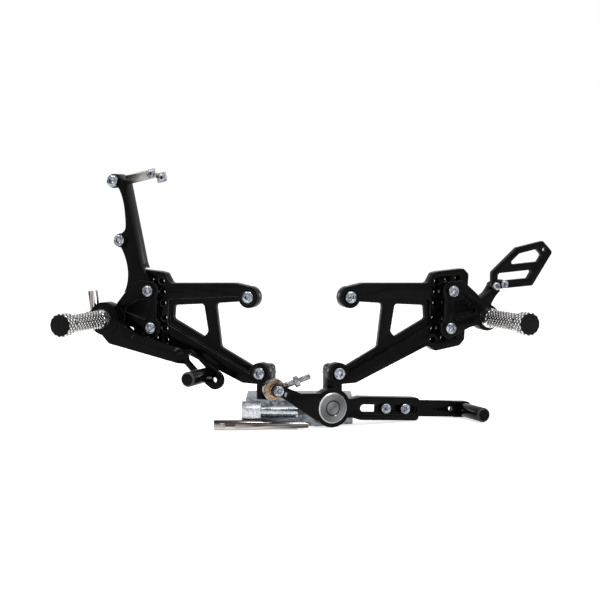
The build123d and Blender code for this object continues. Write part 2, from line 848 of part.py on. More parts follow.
# Master cylinder arm: a thin foot under the brake carrier, then an arm flush with it and deeper above the bracket
cylinder_top = (cylinder_top_back, cylinder_top_rise)
cylinder_low = (cylinder_low_back, cylinder_low_rise)
cylinder_holes = [cylinder_top, cylinder_low]
arm_seam = 2 * clear_gap
arm_step = top_rear[1] + plate_rim + arm_seam
arm_shoulder = (cylinder_top_back - 11.7, cylinder_top_rise + 0.6)
arm_hip = (cylinder_low_back - 22.7, cylinder_low_rise - 22.9)
arm_toe = (upper_grid[0] - 2.5, carrier_brow[1] + arm_seam)
arm_brow = (carrier_brow[0] + arm_seam, carrier_brow[1] + arm_seam)
arm_heel = (carrier_slope[0] + 0.2, carrier_slope[1] + arm_seam + 0.2)
front_curve = [arm_hip, (cylinder_low_back - 26, cylinder_low_rise - 30), arm_toe]
rear_curve = [
    arm_heel,
    (cylinder_low_back - 8.2, cylinder_low_rise - 36),
    (cylinder_low_back - 6.5, cylinder_low_rise - 22.2),
    (cylinder_low_back, cylinder_low_rise - cylinder_boss_r + 0.3),
]
neck_curve = [
    (cylinder_low_back, cylinder_low_rise + cylinder_boss_r - 0.3),
    (cylinder_low_back - 5.4, cylinder_low_rise + 12.2),
    (cylinder_low_back - 5.8, cylinder_low_rise + 19),
    (cylinder_top_back - 8.9, cylinder_top_rise - 14.4),
    (cylinder_top_back - 4.6, cylinder_top_rise - 5.6),
]
with BuildSketch() as arm_outline:
    with BuildLine():
        Polyline(*flip([(cylinder_top_back - 2.6, cylinder_top_rise + 6.4), arm_shoulder, arm_hip]))
        Spline(*flip(front_curve))
        Polyline(*flip([arm_toe, arm_brow, arm_heel]))
        Spline(*flip(rear_curve))
        Line(*flip([rear_curve[-1], neck_curve[0]]))
        Spline(*flip(neck_curve))
        Polyline(*flip([neck_curve[-1], cylinder_top, (cylinder_top_back - 2.6, cylinder_top_rise + 6.4)]))
    make_face()
    with Locations(*flip(cylinder_holes)):
        Circle(cylinder_boss_r)
foot_points = [
    (upper_grid[0] - 7, upper_grid[1] + 3),
    (arm_toe[0] + 1, arm_toe[1]),
    (arm_brow[0] + 2, arm_brow[1] + 2),
    (arm_heel[0] - 1.5, arm_heel[1] + 1),
    (peg_back - peg_boss_r - 6, peg_rise + 12),
    (lower_grid[0] + 11, lower_grid[1] + 2),
    (lower_grid[0] + 2, lower_grid[1] - 8),
    (lower_grid[0] - 8, lower_grid[1] - 2),
]
with BuildPart() as cylinder_arm:
    with BuildSketch(brake_side.offset(bracket_t)):
        add(rounded(flip(foot_points), 1.5))
    extrude(amount=arm_foot_t)
    with BuildSketch(brake_side.offset(bracket_t)):
        add(arm_outline.sketch)
    extrude(amount=brake_front - bracket_t)
    with BuildSketch(brake_side):
        add(arm_outline.sketch)
        with Locations((-cylinder_low_back, arm_step - cylinder_low_rise)):
            Rectangle(2 * cylinder_low_back, 2 * cylinder_low_rise, mode=Mode.SUBTRACT)
    extrude(amount=bracket_t)
    with BuildSketch(brake_side):
        with Locations(*flip([upper_grid, lower_grid])):
            Circle(m6_hole_r)
        with Locations(*flip(cylinder_holes)):
            Circle(m8_hole_r)
    extrude(amount=brake_front, mode=Mode.SUBTRACT)
cylinder_arm.part.label = "cylinder_arm"
export_step(cylinder_arm.part, "parts/cylinder_arm.step")

with BuildPart() as cylinder_bolts:
    for point in cylinder_holes:
        seat = spot(brake_side, point[0], point[1], brake_front)
        add(stud_bolt(seat, m8_head_r, m8_head_h, m8_r, brake_front + strip_t, m8_thread_r, cylinder_stud))
cylinder_bolts.part.label = "cylinder_bolts"
export_step(cylinder_bolts.part, "parts/cylinder_bolts.step")

# Reservoir bracket: a flat strip held by the upper cylinder bolt, its front end joggled inwards to a second tab
strip_turn = radians(strip_tilt)
strip_plane = Plane(
    origin=brake_side.from_local_coords(Vector(-cylinder_top_back, cylinder_top_rise, 0)),
    x_dir=brake_side.x_dir * cos(strip_turn) + brake_side.y_dir * sin(strip_turn),
    z_dir=brake_side.z_dir,
)
strip_screw = (strip_screw_x, 0)
joggle_screw = (joggle_screw_x, -joggle_drop)
with BuildPart() as reservoir_bracket:
    with BuildSketch(strip_plane):
        with Locations((strip_len / 2, 0)):
            RectangleRounded(strip_len, strip_h, 1.2)
        Circle(strip_eye_r)
    extrude(amount=-strip_t)
    with BuildSketch(strip_plane):
        with Locations((strip_len - strip_t / 2, -strip_h / 4)):
            Rectangle(strip_t, strip_h / 2)
    extrude(amount=-strip_t - strip_joggle)
    with BuildSketch(strip_plane.offset(-strip_joggle)):
        with Locations((strip_len - strip_t + (joggle_len + strip_t) / 2, -joggle_drop + 0.4)):
            RectangleRounded(joggle_len + strip_t, strip_h, 1.2)
    extrude(amount=-strip_t)
    with BuildSketch(strip_plane):
        Circle(m8_hole_r)
    extrude(amount=-strip_t, mode=Mode.SUBTRACT)
    with BuildSketch(strip_plane):
        with Locations(strip_screw, joggle_screw):
            Circle(m5_hole_r)
    extrude(amount=-strip_t - strip_joggle, mode=Mode.SUBTRACT)
reservoir_bracket.part.label = "reservoir_bracket"
export_step(reservoir_bracket.part, "parts/reservoir_bracket.step")

with BuildPart() as reservoir_screws:
    for point, depth in ((strip_screw, 0), (joggle_screw, strip_joggle)):
        seat = Plane(
            origin=strip_plane.from_local_coords(Vector(point[0], point[1], -depth)),
            x_dir=strip_plane.x_dir,
            z_dir=strip_plane.z_dir,
        )
        add(cap_bolt(seat, m5_head_r, m5_head_h - 0.2, m5_r, strip_t + 4))
reservoir_screws.part.label = "reservoir_screws"
export_step(reservoir_screws.part, "parts/reservoir_screws.step")

# Brake pedal pivot: a steel sleeve clamped by the peg bolt, with the pedal's bush turning on it
with BuildPart() as brake_pivot_sleeve:
    with BuildSketch(spot(brake_side, peg_back, peg_rise, boss_front)):
        Circle(sleeve_r)
        Circle(peg_bolt_r + bolt_clear, mode=Mode.SUBTRACT)
    extrude(amount=hub_w + 2 * clear_gap)
brake_pivot_sleeve.part.label = "brake_pivot_sleeve"
export_step(brake_pivot_sleeve.part, "parts/brake_pivot_sleeve.step")

hub_back = boss_front + clear_gap
hub_front = hub_back + hub_w
with BuildPart() as brake_pedal_bush:
    with BuildSketch(spot(brake_side, peg_back, peg_rise, hub_back)):
        Circle(pedal_bush_r)
        Circle(sleeve_r + running_gap, mode=Mode.SUBTRACT)
    extrude(amount=hub_w - hub_lip)
brake_pedal_bush.part.label = "brake_pedal_bush"
export_step(brake_pedal_bush.part, "parts/brake_pedal_bush.step")

# Brake pedal: hub with a stepped rim, arm whose front face slopes down to a thin slotted toe link, and a tail
pedal_back = hub_back + pedal_start
pedal_front = pedal_back + pedal_t
link_t = pedal_t - pedal_recess
pedal_points = [
    (peg_back + 7, peg_rise - 13.5),
    (peg_back - 5, peg_rise - 25.5),
    (toe_slot_back + 8, toe_slot_rise - 6.1),
    (toe_slot_back, toe_slot_rise - 13.8),
    (toe_hole_back + 5.7, toe_hole_rise - 7.6),
    (toe_hole_back - 5.9, toe_hole_rise + 7.4),
    (toe_slot_back + 1, toe_slot_rise + 8.4),
    (toe_slot_back + 9, toe_slot_rise + 8.5),
    (lower_grid[0], lower_grid[1] - 9),
    (lower_grid[0] + 13.9, lower_grid[1] - 4.5),
    (peg_back - 16, peg_rise - 1),
    (peg_back, peg_rise),
]
pedal_recess_points = [
    (peg_back - 19, peg_rise + 20),
    (peg_back - 21.5, peg_rise - 9),
    (peg_back - 30, peg_rise - 19.5),
    (peg_back - 41.8, peg_rise - 23.3),
    (toe_slot_back + 13.7, toe_slot_rise + 6.8),
    (toe_slot_back + 10, toe_slot_rise - 40),
    (toe_hole_back - 30, toe_hole_rise - 20),
    (toe_hole_back - 30, peg_rise + 20),
]
slot_mid = ((toe_back + toe_slot_back) / 2, (toe_rise + toe_slot_rise) / 2)
slot_vector = Vector(toe_slot_back - toe_back, toe_slot_rise - toe_rise)
slot_angle = -degrees(atan2(slot_vector.Y, slot_vector.X))
tail_point = (peg_back + tail_back, peg_rise - tail_drop)
tail_front = hub_back + tail_t
eye_front = pushrod_out + pushrod_eye_t / 2
with BuildPart() as brake_pedal:
    with BuildSketch(brake_side.offset(pedal_back)):
        add(rounded(flip(pedal_points), 2))
        with Locations((-toe_hole_back, toe_hole_rise)):
            Circle(toe_eye_r)
    extrude(amount=pedal_t)
    with BuildSketch(brake_side.offset(pedal_front)):
        add(rounded(flip(pedal_recess_points), 7))
    extrude(amount=-pedal_recess, taper=pedal_slope, mode=Mode.SUBTRACT)
    with BuildSketch(brake_side.offset(hub_back)):
        with BuildLine():
            Polyline(
                (-peg_back, peg_rise + 11),
                (-tail_point[0], tail_point[1] + tail_r),
                (-tail_point[0], tail_point[1] - tail_r),
                (-peg_back, peg_rise - 11),
                close=True,
            )
        make_face()
        with Locations((-tail_point[0], tail_point[1])):
            Circle(tail_r)
    extrude(amount=tail_t)
    with BuildSketch(brake_side.offset(hub_back)):
        with Locations((-tail_point[0], tail_point[1])):
            Circle(tail_boss_r)
    extrude(amount=eye_front + sliding_gap - hub_back)
    with BuildSketch(brake_side.offset(hub_back)):
        with Locations((-peg_back, peg_rise)):
            Circle(hub_r)
    extrude(amount=hub_w - hub_step)
    with BuildSketch(brake_side.offset(hub_back)):
        with Locations((-peg_back, peg_rise)):
            Circle(hub_step_r)
    extrude(amount=hub_w)
    with BuildSketch(brake_side.offset(hub_back)):
        with Locations((-peg_back, peg_rise)):
            Circle(pedal_bush_r)
    extrude(amount=hub_w - hub_lip, mode=Mode.SUBTRACT)
    with BuildSketch(brake_side.offset(hub_back)):
        with Locations((-peg_back, peg_rise)):
            Circle(sleeve_r + clear_gap)
        with Locations((-slot_mid[0], slot_mid[1])):
            SlotCenterToCenter(slot_vector.length, 2 * toe_slot_r, rotation=slot_angle)
        with Locations((-toe_hole_back, toe_hole_rise)):
            Circle(toe_hole_r)
    extrude(amount=hub_w, mode=Mode.SUBTRACT)
    with BuildSketch(brake_side.offset(eye_front)):
        with Locations((-tail_point[0], tail_point[1])):
            Circle(pushrod_pin_r + running_gap)
    extrude(amount=tail_front - eye_front, mode=Mode.SUBTRACT)
brake_pedal.part.label = "brake_pedal"
export_step(brake_pedal.part, "parts/brake_pedal.step")

brake_toe_place = spot(brake_side, toe_back, toe_rise, pedal_back + link_t)
toe_profile = [
    (m6_hole_r, 0),
    (toe_peg_r, 0),
    (toe_peg_r, brake_toe_len - 1),
    (toe_peg_r - 1, brake_toe_len),
    (0, brake_toe_len),
    (0, brake_toe_len - 12),
    (m6_hole_r, brake_toe_len - 12),
]
with BuildPart() as brake_toe_peg:
    add(turned(brake_toe_place, toe_profile))
brake_toe_peg.part.label = "brake_toe_peg"
export_step(brake_toe_peg.part, "parts/brake_toe_peg.step")

with BuildPart() as brake_toe_bolt:
    seat = spot(brake_side, toe_back, toe_rise, pedal_back)
    add(cap_bolt(seat, m6_head_r, -m6_head_h, m6_r, -link_t - brake_toe_len + 14))
brake_toe_bolt.part.label = "brake_toe_bolt"
export_step(brake_toe_bolt.part, "parts/brake_toe_bolt.step")

# Pushrod: a flat eye behind the pedal's tail and a round rod leaning rearwards, with a threaded top
rod_lean = radians(pushrod_lean)
pushrod_foot = Plane(
    origin=spot(brake_side, tail_point[0], tail_point[1], pushrod_out).origin,
    x_dir=brake_side.x_dir * cos(rod_lean) + brake_side.y_dir * sin(rod_lean),
    z_dir=brake_side.z_dir,
)
upright = Plane(origin=pushrod_foot.origin, x_dir=pushrod_foot.x_dir, z_dir=pushrod_foot.y_dir)
with BuildPart() as brake_pushrod:
    with BuildSketch(pushrod_foot.offset(-pushrod_eye_t / 2)):
        Circle(pushrod_eye_r)
        with Locations((0, pushrod_eye_r / 2 + 1)):
            Rectangle(2 * pushrod_r, pushrod_eye_r + 2)
    extrude(amount=pushrod_eye_t)
    with BuildSketch(upright.offset(pushrod_eye_r + 2)):
        Circle(pushrod_r)
    extrude(amount=pushrod_l - pushrod_eye_r - 2)
    with BuildSketch(upright.offset(pushrod_l)):
        Circle(pushrod_bore_r)
    extrude(amount=-pushrod_bore_l, mode=Mode.SUBTRACT)
    with BuildSketch(pushrod_foot.offset(-pushrod_eye_t / 2)):
        Circle(pushrod_pin_r + running_gap)
    extrude(amount=pushrod_eye_t, mode=Mode.SUBTRACT)
brake_pushrod.part.label = "brake_pushrod"
export_step(brake_pushrod.part, "parts/brake_pushrod.step")

with BuildPart() as pushrod_pin:
    seat = spot(brake_side, tail_point[0], tail_point[1], tail_front)
    add(cap_bolt(seat, pin_head_r, pin_head_h, pushrod_pin_r, tail_front - eye_front + pushrod_eye_t + 0.3))
pushrod_pin.part.label = "pushrod_pin"
export_step(pushrod_pin.part, "parts/pushrod_pin.step")

# Shift lever: hub on a shoulder bolt, a cranked arm for the rod end, a channelled body for the extension
lever_plane = Plane(
    origin=shift_side.from_local_coords(Vector(pivot_back, pivot_rise, lever_gap)),
    x_dir=shift_side.x_dir * cos(drop) - shift_side.y_dir * sin(drop),
    z_dir=shift_side.z_dir,
)
cap_back = lever_t + cap_proud - cap_t
arm_back = lever_t - arm_tip_t
channel_start = slot_start - ext_h / 2 + 1
lever_arm_points = [
    (arm_tip_x + 2, arm_tip_y + arm_tip_r - 0.3),
    (-35, 13.8),
    (-10, 14.5),
    (-10, -15.5),
    (-20, -11),
    (arm_tip_x + 3, arm_tip_y - arm_tip_r + 0.8),
    (arm_tip_x, arm_tip_y),
]
lever_body_points = [
    (lever_body_start, lever_body_h / 2),
    (lever_body_end, lever_body_h / 2),
    (lever_body_end, -lever_body_h / 2),
    (lever_body_start, -lever_body_h / 2),
    (lever_body_start - 9, -lever_neck_h / 2),
    (0, -lever_neck_h / 2),
    (0, lever_neck_h / 2),
    (lever_body_start - 9, lever_neck_h / 2),
]
with BuildPart() as shift_lever:
    with BuildSketch(lever_plane.offset(arm_back)):
        add(rounded(lever_arm_points, 1.5))
        with Locations((arm_tip_x, arm_tip_y)):
            Circle(arm_tip_r)
    extrude(amount=arm_tip_t)
    with BuildSketch(lever_plane):
        add(rounded(lever_body_points, 4))
        Circle(lever_hub_r)
    extrude(amount=lever_t)
    with BuildSketch(lever_plane):
        with Locations(((channel_start + lever_body_end) / 2, 0)):
            Rectangle(lever_body_end - channel_start, ext_h + 2 * sliding_gap)
    extrude(amount=lever_t - lever_wall, mode=Mode.SUBTRACT)
    with BuildSketch(lever_plane):
        with Locations(((slot_start + slot_stop) / 2, 0)):
            SlotCenterToCenter(slot_stop - slot_start, 2 * slot_r)
        Circle(lever_bush_r)
        with Locations((arm_tip_x, arm_tip_y)):
            Circle(m6_hole_r)
        with Locations((arm_spare_x, arm_spare_y)):
            Circle(arm_spare_r)
    extrude(amount=lever_t, mode=Mode.SUBTRACT)
    with BuildSketch(lever_plane.offset(lever_t - slot_sunk)):
        with Locations(((slot_start + slot_stop) / 2, 0)):
            SlotCenterToCenter(slot_stop - slot_start, 2 * slot_head_r)
    extrude(amount=slot_sunk, mode=Mode.SUBTRACT)
    with BuildSketch(lever_plane.offset(cap_back - clear_gap)):
        Circle(cap_r + clear_gap)
    extrude(amount=lever_t - cap_back + clear_gap, mode=Mode.SUBTRACT)
shift_lever.part.label = "shift_lever"
export_step(shift_lever.part, "parts/shift_lever.step")

with BuildPart() as lever_bush:
    with BuildSketch(lever_plane):
        Circle(lever_bush_r)
        Circle(shoulder_r + running_gap, mode=Mode.SUBTRACT)
    extrude(amount=cap_back - clear_gap)
lever_bush.part.label = "lever_bush"
export_step(lever_bush.part, "parts/lever_bush.step")

pivot_place = spot(shift_side, pivot_back, pivot_rise, 0)
with BuildPart() as lever_washer:
    with BuildSketch(pivot_place):
        Circle(washer_r)
        Circle(shoulder_r + bolt_clear, mode=Mode.SUBTRACT)
    extrude(amount=lever_gap - clear_gap)
lever_washer.part.label = "lever_washer"
export_step(lever_washer.part, "parts/lever_washer.step")

with BuildPart() as lever_pivot_bolt:
    add(cap_bolt(pivot_place, shoulder_r, lever_gap + cap_back, pivot_thread_r, pivot_thread_l))
lever_pivot_bolt.part.label = "lever_pivot_bolt"
export_step(lever_pivot_bolt.part, "parts/lever_pivot_bolt.step")

with BuildPart() as lever_pivot_cap:
    add(turned(lever_plane.offset(cap_back), [
        (0, 0),
        (cap_r, 0),
        (cap_r, cap_t - 0.8),
        (cap_r - 0.8, cap_t),
        (cap_r / 2 + 0.5, cap_t),
        (cap_r / 2, cap_t - 0.6),
        (0, cap_t - 0.6),
    ]))
lever_pivot_cap.part.label = "lever_pivot_cap"
export_step(lever_pivot_cap.part, "parts/lever_pivot_cap.step")

# Lever extension: slides in the lever's channel, clamped by two screws through the slot
ext_back = lever_t - lever_wall - ext_t
screw_spots = [(ext_screw_x, 0), (ext_screw_x + ext_screw_pitch, 0)]
with BuildPart() as lever_extension:
    with BuildSketch(lever_plane.offset(ext_back)):
        add(rounded([
            (ext_left, ext_h / 2),
            (ext_right, ext_h / 2),
            (ext_right, -ext_h / 2),
            (ext_left, -ext_h / 2),
        ], 4))
    extrude(amount=ext_t)
    with BuildSketch(lever_plane.offset(ext_back)) as end_face:
        add(rounded([
            (ext_right - ext_end_l, ext_h / 2),
            (ext_right, ext_h / 2),
            (ext_right, -ext_h / 2),
            (ext_right - ext_end_l, -ext_h / 2),
        ], 4))
    extrude(amount=ext_end_t)
    with BuildSketch(lever_plane.offset(ext_back)):
        with Locations(*screw_spots):
            Circle(m5_hole_r)
        with Locations((ext_spare_x, 0)):
            Circle(ext_spare_r)
        with Locations((shift_toe_x, 0)):
            Circle(m6_hole_r)
    extrude(amount=ext_end_t, mode=Mode.SUBTRACT)
lever_extension.part.label = "lever_extension"
export_step(lever_extension.part, "parts/lever_extension.step")

with BuildPart() as extension_screws:
    for point in screw_spots:
        place = Plane(
            origin=lever_plane.from_local_coords(Vector(point[0], 0, lever_t - slot_sunk)),
            x_dir=lever_plane.x_dir,
            z_dir=lever_plane.z_dir,
        )
        add(cap_bolt(place, slot_head_r - 0.5, m5_head_h, m5_r, lever_wall - slot_sunk + ext_t))
extension_screws.part.label = "extension_screws"
export_step(extension_screws.part, "parts/extension_screws.step")

toe_seat = Plane(
    origin=lever_plane.from_local_coords(Vector(shift_toe_x, 0, ext_back + ext_end_t)),
    x_dir=lever_plane.x_dir,
    z_dir=lever_plane.z_dir,
)
with BuildPart() as shift_toe_peg:
    add(turned(toe_seat, [
        (m6_hole_r, 0),
        (toe_peg_r, 0),
        (toe_peg_r, shift_toe_len - 1),
        (toe_peg_r - 1, shift_toe_len),
        (0, shift_toe_len),
        (0, shift_toe_len - 12),
        (m6_hole_r, shift_toe_len - 12),
    ]))
shift_toe_peg.part.label = "shift_toe_peg"
export_step(shift_toe_peg.part, "parts/shift_toe_peg.step")

with BuildPart() as shift_toe_bolt:
    place = toe_seat.offset(-ext_end_t)
    add(cap_bolt(place, m6_head_r, -m6_head_h, m6_r, -ext_end_t - shift_toe_len + 14))
shift_toe_bolt.part.label = "shift_toe_bolt"
export_step(shift_toe_bolt.part, "parts/shift_toe_bolt.step")

# Rod end behind the lever's arm: an eye with a bronze race round a drilled ball, and a threaded stud
# The eye is tilted on its ball, so that the stud points past the bracket; the ball's spigots keep it off the arm
ball_centre = arm_back - ball_w / 2
tip_place = Plane(
    origin=lever_plane.from_local_coords(Vector(arm_tip_x, arm_tip_y, ball_centre)),
    x_dir=lever_plane.x_dir,
    z_dir=lever_plane.z_dir,
)
stud_turn = radians(stud_rise)
stud_yaw = radians(stud_swing)
stud_flat = shift_side.x_dir * cos(stud_yaw) + shift_side.z_dir * sin(stud_yaw)
stud_dir = stud_flat * cos(stud_turn) + shift_side.y_dir * sin(stud_turn)
eye_normal = (shift_side.z_dir - stud_dir * shift_side.z_dir.dot(stud_dir)).normalized()
eye_place = Plane(origin=tip_place.origin, x_dir=stud_dir, z_dir=eye_normal)
stud_place = Plane(origin=tip_place.origin, x_dir=eye_normal, z_dir=stud_dir)
with BuildPart() as rod_end_body:
    with BuildSketch(eye_place.offset(-eye_t / 2)):
        Circle(eye_r)
    extrude(amount=eye_t)
    with BuildSketch(stud_place.offset(race_r)):
        Circle(stud_neck_r)
    with BuildSketch(stud_place.offset(stud_neck_l)):
        Circle(m6_r)
    loft()
    with BuildSketch(stud_place.offset(stud_neck_l)):
        Circle(m6_r)
    extrude(amount=locknut_at + locknut_t - stud_neck_l)
    with BuildSketch(stud_place.offset(locknut_at + locknut_t)):
        Circle(m6_thread_r)
    extrude(amount=stud_l - locknut_at - locknut_t)
    with BuildSketch(eye_place.offset(-eye_t / 2 - 1)):
        Circle(race_r)
    extrude(amount=eye_t + 2, mode=Mode.SUBTRACT)
rod_end_body.part.label = "rod_end_body"
export_step(rod_end_body.part, "parts/rod_end_body.step")

with BuildPart() as rod_end_race:
    with BuildSketch(eye_place.offset(-eye_t / 2)):
        Circle(race_r)
    extrude(amount=eye_t)
    with Locations(eye_place):
        Sphere(ball_r + running_gap, mode=Mode.SUBTRACT)
rod_end_race.part.label = "rod_end_race"
export_step(rod_end_race.part, "parts/rod_end_race.step")

with BuildPart() as rod_end_ball:
    with Locations(tip_place):
        Sphere(ball_r)
    with BuildSketch(tip_place.offset(-ball_w / 2)):
        Circle(ball_spigot_r)
    extrude(amount=ball_w)
    with BuildSketch(tip_place.offset(-ball_w / 2)):
        Circle(m6_r + bolt_clear)
    extrude(amount=ball_w, mode=Mode.SUBTRACT)
rod_end_ball.part.label = "rod_end_ball"
export_step(rod_end_ball.part, "parts/rod_end_ball.step")

with BuildPart() as rod_end_bolt:
    place = tip_place.offset(ball_w / 2 + arm_tip_t)
    add(cap_bolt(place, rod_bolt_head_r, rod_bolt_head_h, m6_r, arm_tip_t + ball_w + rod_nut_t + 0.5))
rod_end_bolt.part.label = "rod_end_bolt"
export_step(rod_end_bolt.part, "parts/rod_end_bolt.step")

with BuildPart() as rod_end_nut:
    add(hex_nut(tip_place.offset(-ball_w / 2 - rod_nut_t), locknut_af, rod_nut_t, m6_r + bolt_clear))
rod_end_nut.part.label = "rod_end_nut"
export_step(rod_end_nut.part, "parts/rod_end_nut.step")

with BuildPart() as rod_end_locknut:
    add(hex_nut(stud_place.offset(locknut_at), locknut_af, locknut_t, m6_r + bolt_clear))
rod_end_locknut.part.label = "rod_end_locknut"
export_step(rod_end_locknut.part, "parts/rod_end_locknut.step")
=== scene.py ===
import math

import bmesh
import bpy
from mathutils import Matrix, Vector


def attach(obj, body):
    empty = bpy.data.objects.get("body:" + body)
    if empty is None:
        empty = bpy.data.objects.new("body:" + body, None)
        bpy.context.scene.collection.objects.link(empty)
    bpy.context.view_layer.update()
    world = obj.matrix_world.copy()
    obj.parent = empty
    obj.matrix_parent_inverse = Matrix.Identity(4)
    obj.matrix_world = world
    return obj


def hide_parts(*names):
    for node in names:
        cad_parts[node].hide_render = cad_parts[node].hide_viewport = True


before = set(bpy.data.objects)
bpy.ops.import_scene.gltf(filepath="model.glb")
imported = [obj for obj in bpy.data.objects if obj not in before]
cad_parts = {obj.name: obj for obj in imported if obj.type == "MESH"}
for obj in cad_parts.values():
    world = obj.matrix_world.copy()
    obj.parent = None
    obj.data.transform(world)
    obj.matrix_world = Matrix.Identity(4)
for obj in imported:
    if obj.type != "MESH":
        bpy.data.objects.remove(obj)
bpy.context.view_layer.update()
scene = bpy.context.scene
print("frame loaded:", len(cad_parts), "nodes")

mm = 0.001
brake, shift = -1, 1  # the hand of each side, as a sign on X
sides = {"brake": brake, "shift": shift}

# the two splayed sides: the lower frame bolts in mm, and the angle of the planes in degrees
stance = {"splay": 24.0, "boltX": 35.8, "boltY": -27.5, "boltZ": 53.4}
lean = math.radians(stance["splay"])


def onSide(hand, back, rise, out):
    # a point by its place on one side: rearwards, up and outwards from the lower frame bolt, in mm
    x = stance["boltX"] + back * math.cos(lean) + out * math.sin(lean)
    y = stance["boltY"] + back * math.sin(lean) - out * math.cos(lean)
    return Vector((hand * x, y, stance["boltZ"] + rise)) * mm


def outward(hand):
    return Vector((hand * math.sin(lean), -math.cos(lean), 0))


def rearward(hand):
    return Vector((hand * math.cos(lean), math.sin(lean), 0))


def raised(flat, angle):
    # a level direction tipped up by an angle
    return flat * math.cos(angle) + Vector((0, 0, math.sin(angle)))


# the shift lever: its pivot on the shift side and its gap in mm, and its droop in degrees
leverSize = {"back": -8.9, "rise": -33.5, "drop": 4.3, "gap": 2.0}
leverTurn = math.radians(leverSize["drop"])


def onLever(along, up, out):
    # a point on the shift lever, along and up from its pivot and outwards from its back, in mm
    back = leverSize["back"] + along * math.cos(leverTurn) + up * math.sin(leverTurn)
    rise = leverSize["rise"] - along * math.sin(leverTurn) + up * math.cos(leverTurn)
    return onSide(shift, back, rise, leverSize["gap"] + out)


# node helpers, for finishes and for Geometry Nodes
def wire(tree, *pairs):
    for source, target in pairs:
        tree.links.new(source, target)


def maths(tree, operation, first, second=None):
    node = tree.nodes.new("ShaderNodeMath")
    node.operation = operation
    for socket, value in zip(node.inputs, (first, second)):
        if value is None:
            continue
        if isinstance(value, (int, float)):
            socket.default_value = value
        else:
            tree.links.new(value, socket)
    return node.outputs[0]


def vectorMath(tree, operation, first, second=None):
    node = tree.nodes.new("ShaderNodeVectorMath")
    node.operation = operation
    tree.links.new(first, node.inputs[0])
    if second is not None:
        node.inputs[1].default_value = second
    return node.outputs["Value" if operation in ("LENGTH", "DOT_PRODUCT") else "Vector"]


def scaled(tree, vector, factor):
    node = tree.nodes.new("ShaderNodeVectorMath")
    node.operation = "SCALE"
    wire(tree, (vector, node.inputs[0]), (factor, node.inputs["Scale"]))
    return node.outputs[0]


def angleAbout(tree, local, spoke, side):
    # the turn of a point about an axis, from the spoke towards the side
    return maths(tree, "ARCTAN2", vectorMath(tree, "DOT_PRODUCT", local, side),
                 vectorMath(tree, "DOT_PRODUCT", local, spoke))


# finishes: each reads Object coordinates, so the scale of a grain counts per metre
toothDepth = 0.12 * mm  # for the bump of the fine grain


def newFinish(name):
    finish = bpy.data.materials.new(name)
    finish.use_nodes = True
    tree = finish.node_tree
    shader = tree.nodes["Principled BSDF"]
    coords = tree.nodes.new("ShaderNodeTexCoord").outputs["Object"]
    return finish, tree, shader, coords


def grain(tree, coords, scale, detail, stretch=None):
    source = coords
    if stretch:
        mapping = tree.nodes.new("ShaderNodeMapping")
        mapping.inputs["Scale"].default_value = stretch
        tree.links.new(coords, mapping.inputs["Vector"])
        source = mapping.outputs["Vector"]
    noise = tree.nodes.new("ShaderNodeTexNoise")
    noise.inputs["Scale"].default_value = scale
    noise.inputs["Detail"].default_value = detail
    tree.links.new(source, noise.inputs["Vector"])
    return noise.outputs["Fac"]


def ramp(tree, factor, steps):
    # tones along a factor: each step is its place and its colour
    node = tree.nodes.new("ShaderNodeValToRGB")
    stops = node.color_ramp.elements
    while len(stops) < len(steps):
        stops.new(1.0)
    for stop, (place, colour) in zip(stops, steps):
        stop.position = place
        stop.color = (*colour, 1)
    tree.links.new(factor, node.inputs["Fac"])
    return node.outputs["Color"]


def spread(tree, factor, low, high):
    # the middle of a grain's range, laid out from low to high
    node = tree.nodes.new("ShaderNodeMapRange")
    for label, value in (("From Min", 0.3), ("From Max", 0.7), ("To Min", low), ("To Max", high)):
        node.inputs[label].default_value = value
    tree.links.new(factor, node.inputs["Value"])
    return node.outputs["Result"]


def roughen(tree, shader, height, strength, distance):
    bump = tree.nodes.new("ShaderNodeBump")
    bump.inputs["Strength"].default_value = strength
    bump.inputs["Distance"].default_value = distance
    wire(tree, (height, bump.inputs["Height"]), (bump.outputs["Normal"], shader.inputs["Normal"]))


def paintedEdgeHighlight(tree, cloud, tone, edge, highlightSpread=(0.15, 1.0)):
    # the faces of a broken edge are marked on the mesh, and there the tone turns lighter in places: a
    # painted highlight in place of the glints that the edges catch
    mark = tree.nodes.new("ShaderNodeAttribute")
    mark.attribute_name = "broken"
    mix = tree.nodes.new("ShaderNodeMix")
    mix.data_type = "RGBA"
    coat, highlightTone = [socket for socket in mix.inputs if socket.type == "RGBA"]
    highlightTone.default_value = (*edge, 1)
    highlightShare = maths(tree, "MULTIPLY", mark.outputs["Fac"], spread(tree, cloud, *highlightSpread))
    wire(tree, (highlightShare, mix.inputs[0]), (tone, coat))
    return [socket for socket in mix.outputs if socket.type == "RGBA"][0]


def grainedFinish(name, low, high, rough, patch, fine, bump, metallic=1.0, stretch=None, level=0.5,
                  ends=(0.3, 0.7), edge=None):
    # two tones in soft patches, with a fine tooth for the roughness and the bump, and a painted
    # highlight on broken edges where an edge tone is given
    finish, tree, shader, coords = newFinish(name)
    cloud = grain(tree, coords, patch, detail=4.0, stretch=stretch)
    tooth = grain(tree, coords, fine, detail=2.0, stretch=stretch)
    shader.inputs["Metallic"].default_value = metallic
    shader.inputs["Specular IOR Level"].default_value = level
    tone = ramp(tree, cloud, list(zip(ends, (low, high))))
    if edge:
        tone = paintedEdgeHighlight(tree, cloud, tone, edge)
    wire(tree, (tone, shader.inputs["Base Color"]),
         (spread(tree, tooth, *rough), shader.inputs["Roughness"]))
    roughen(tree, shader, tooth, bump, toothDepth)
    return finish


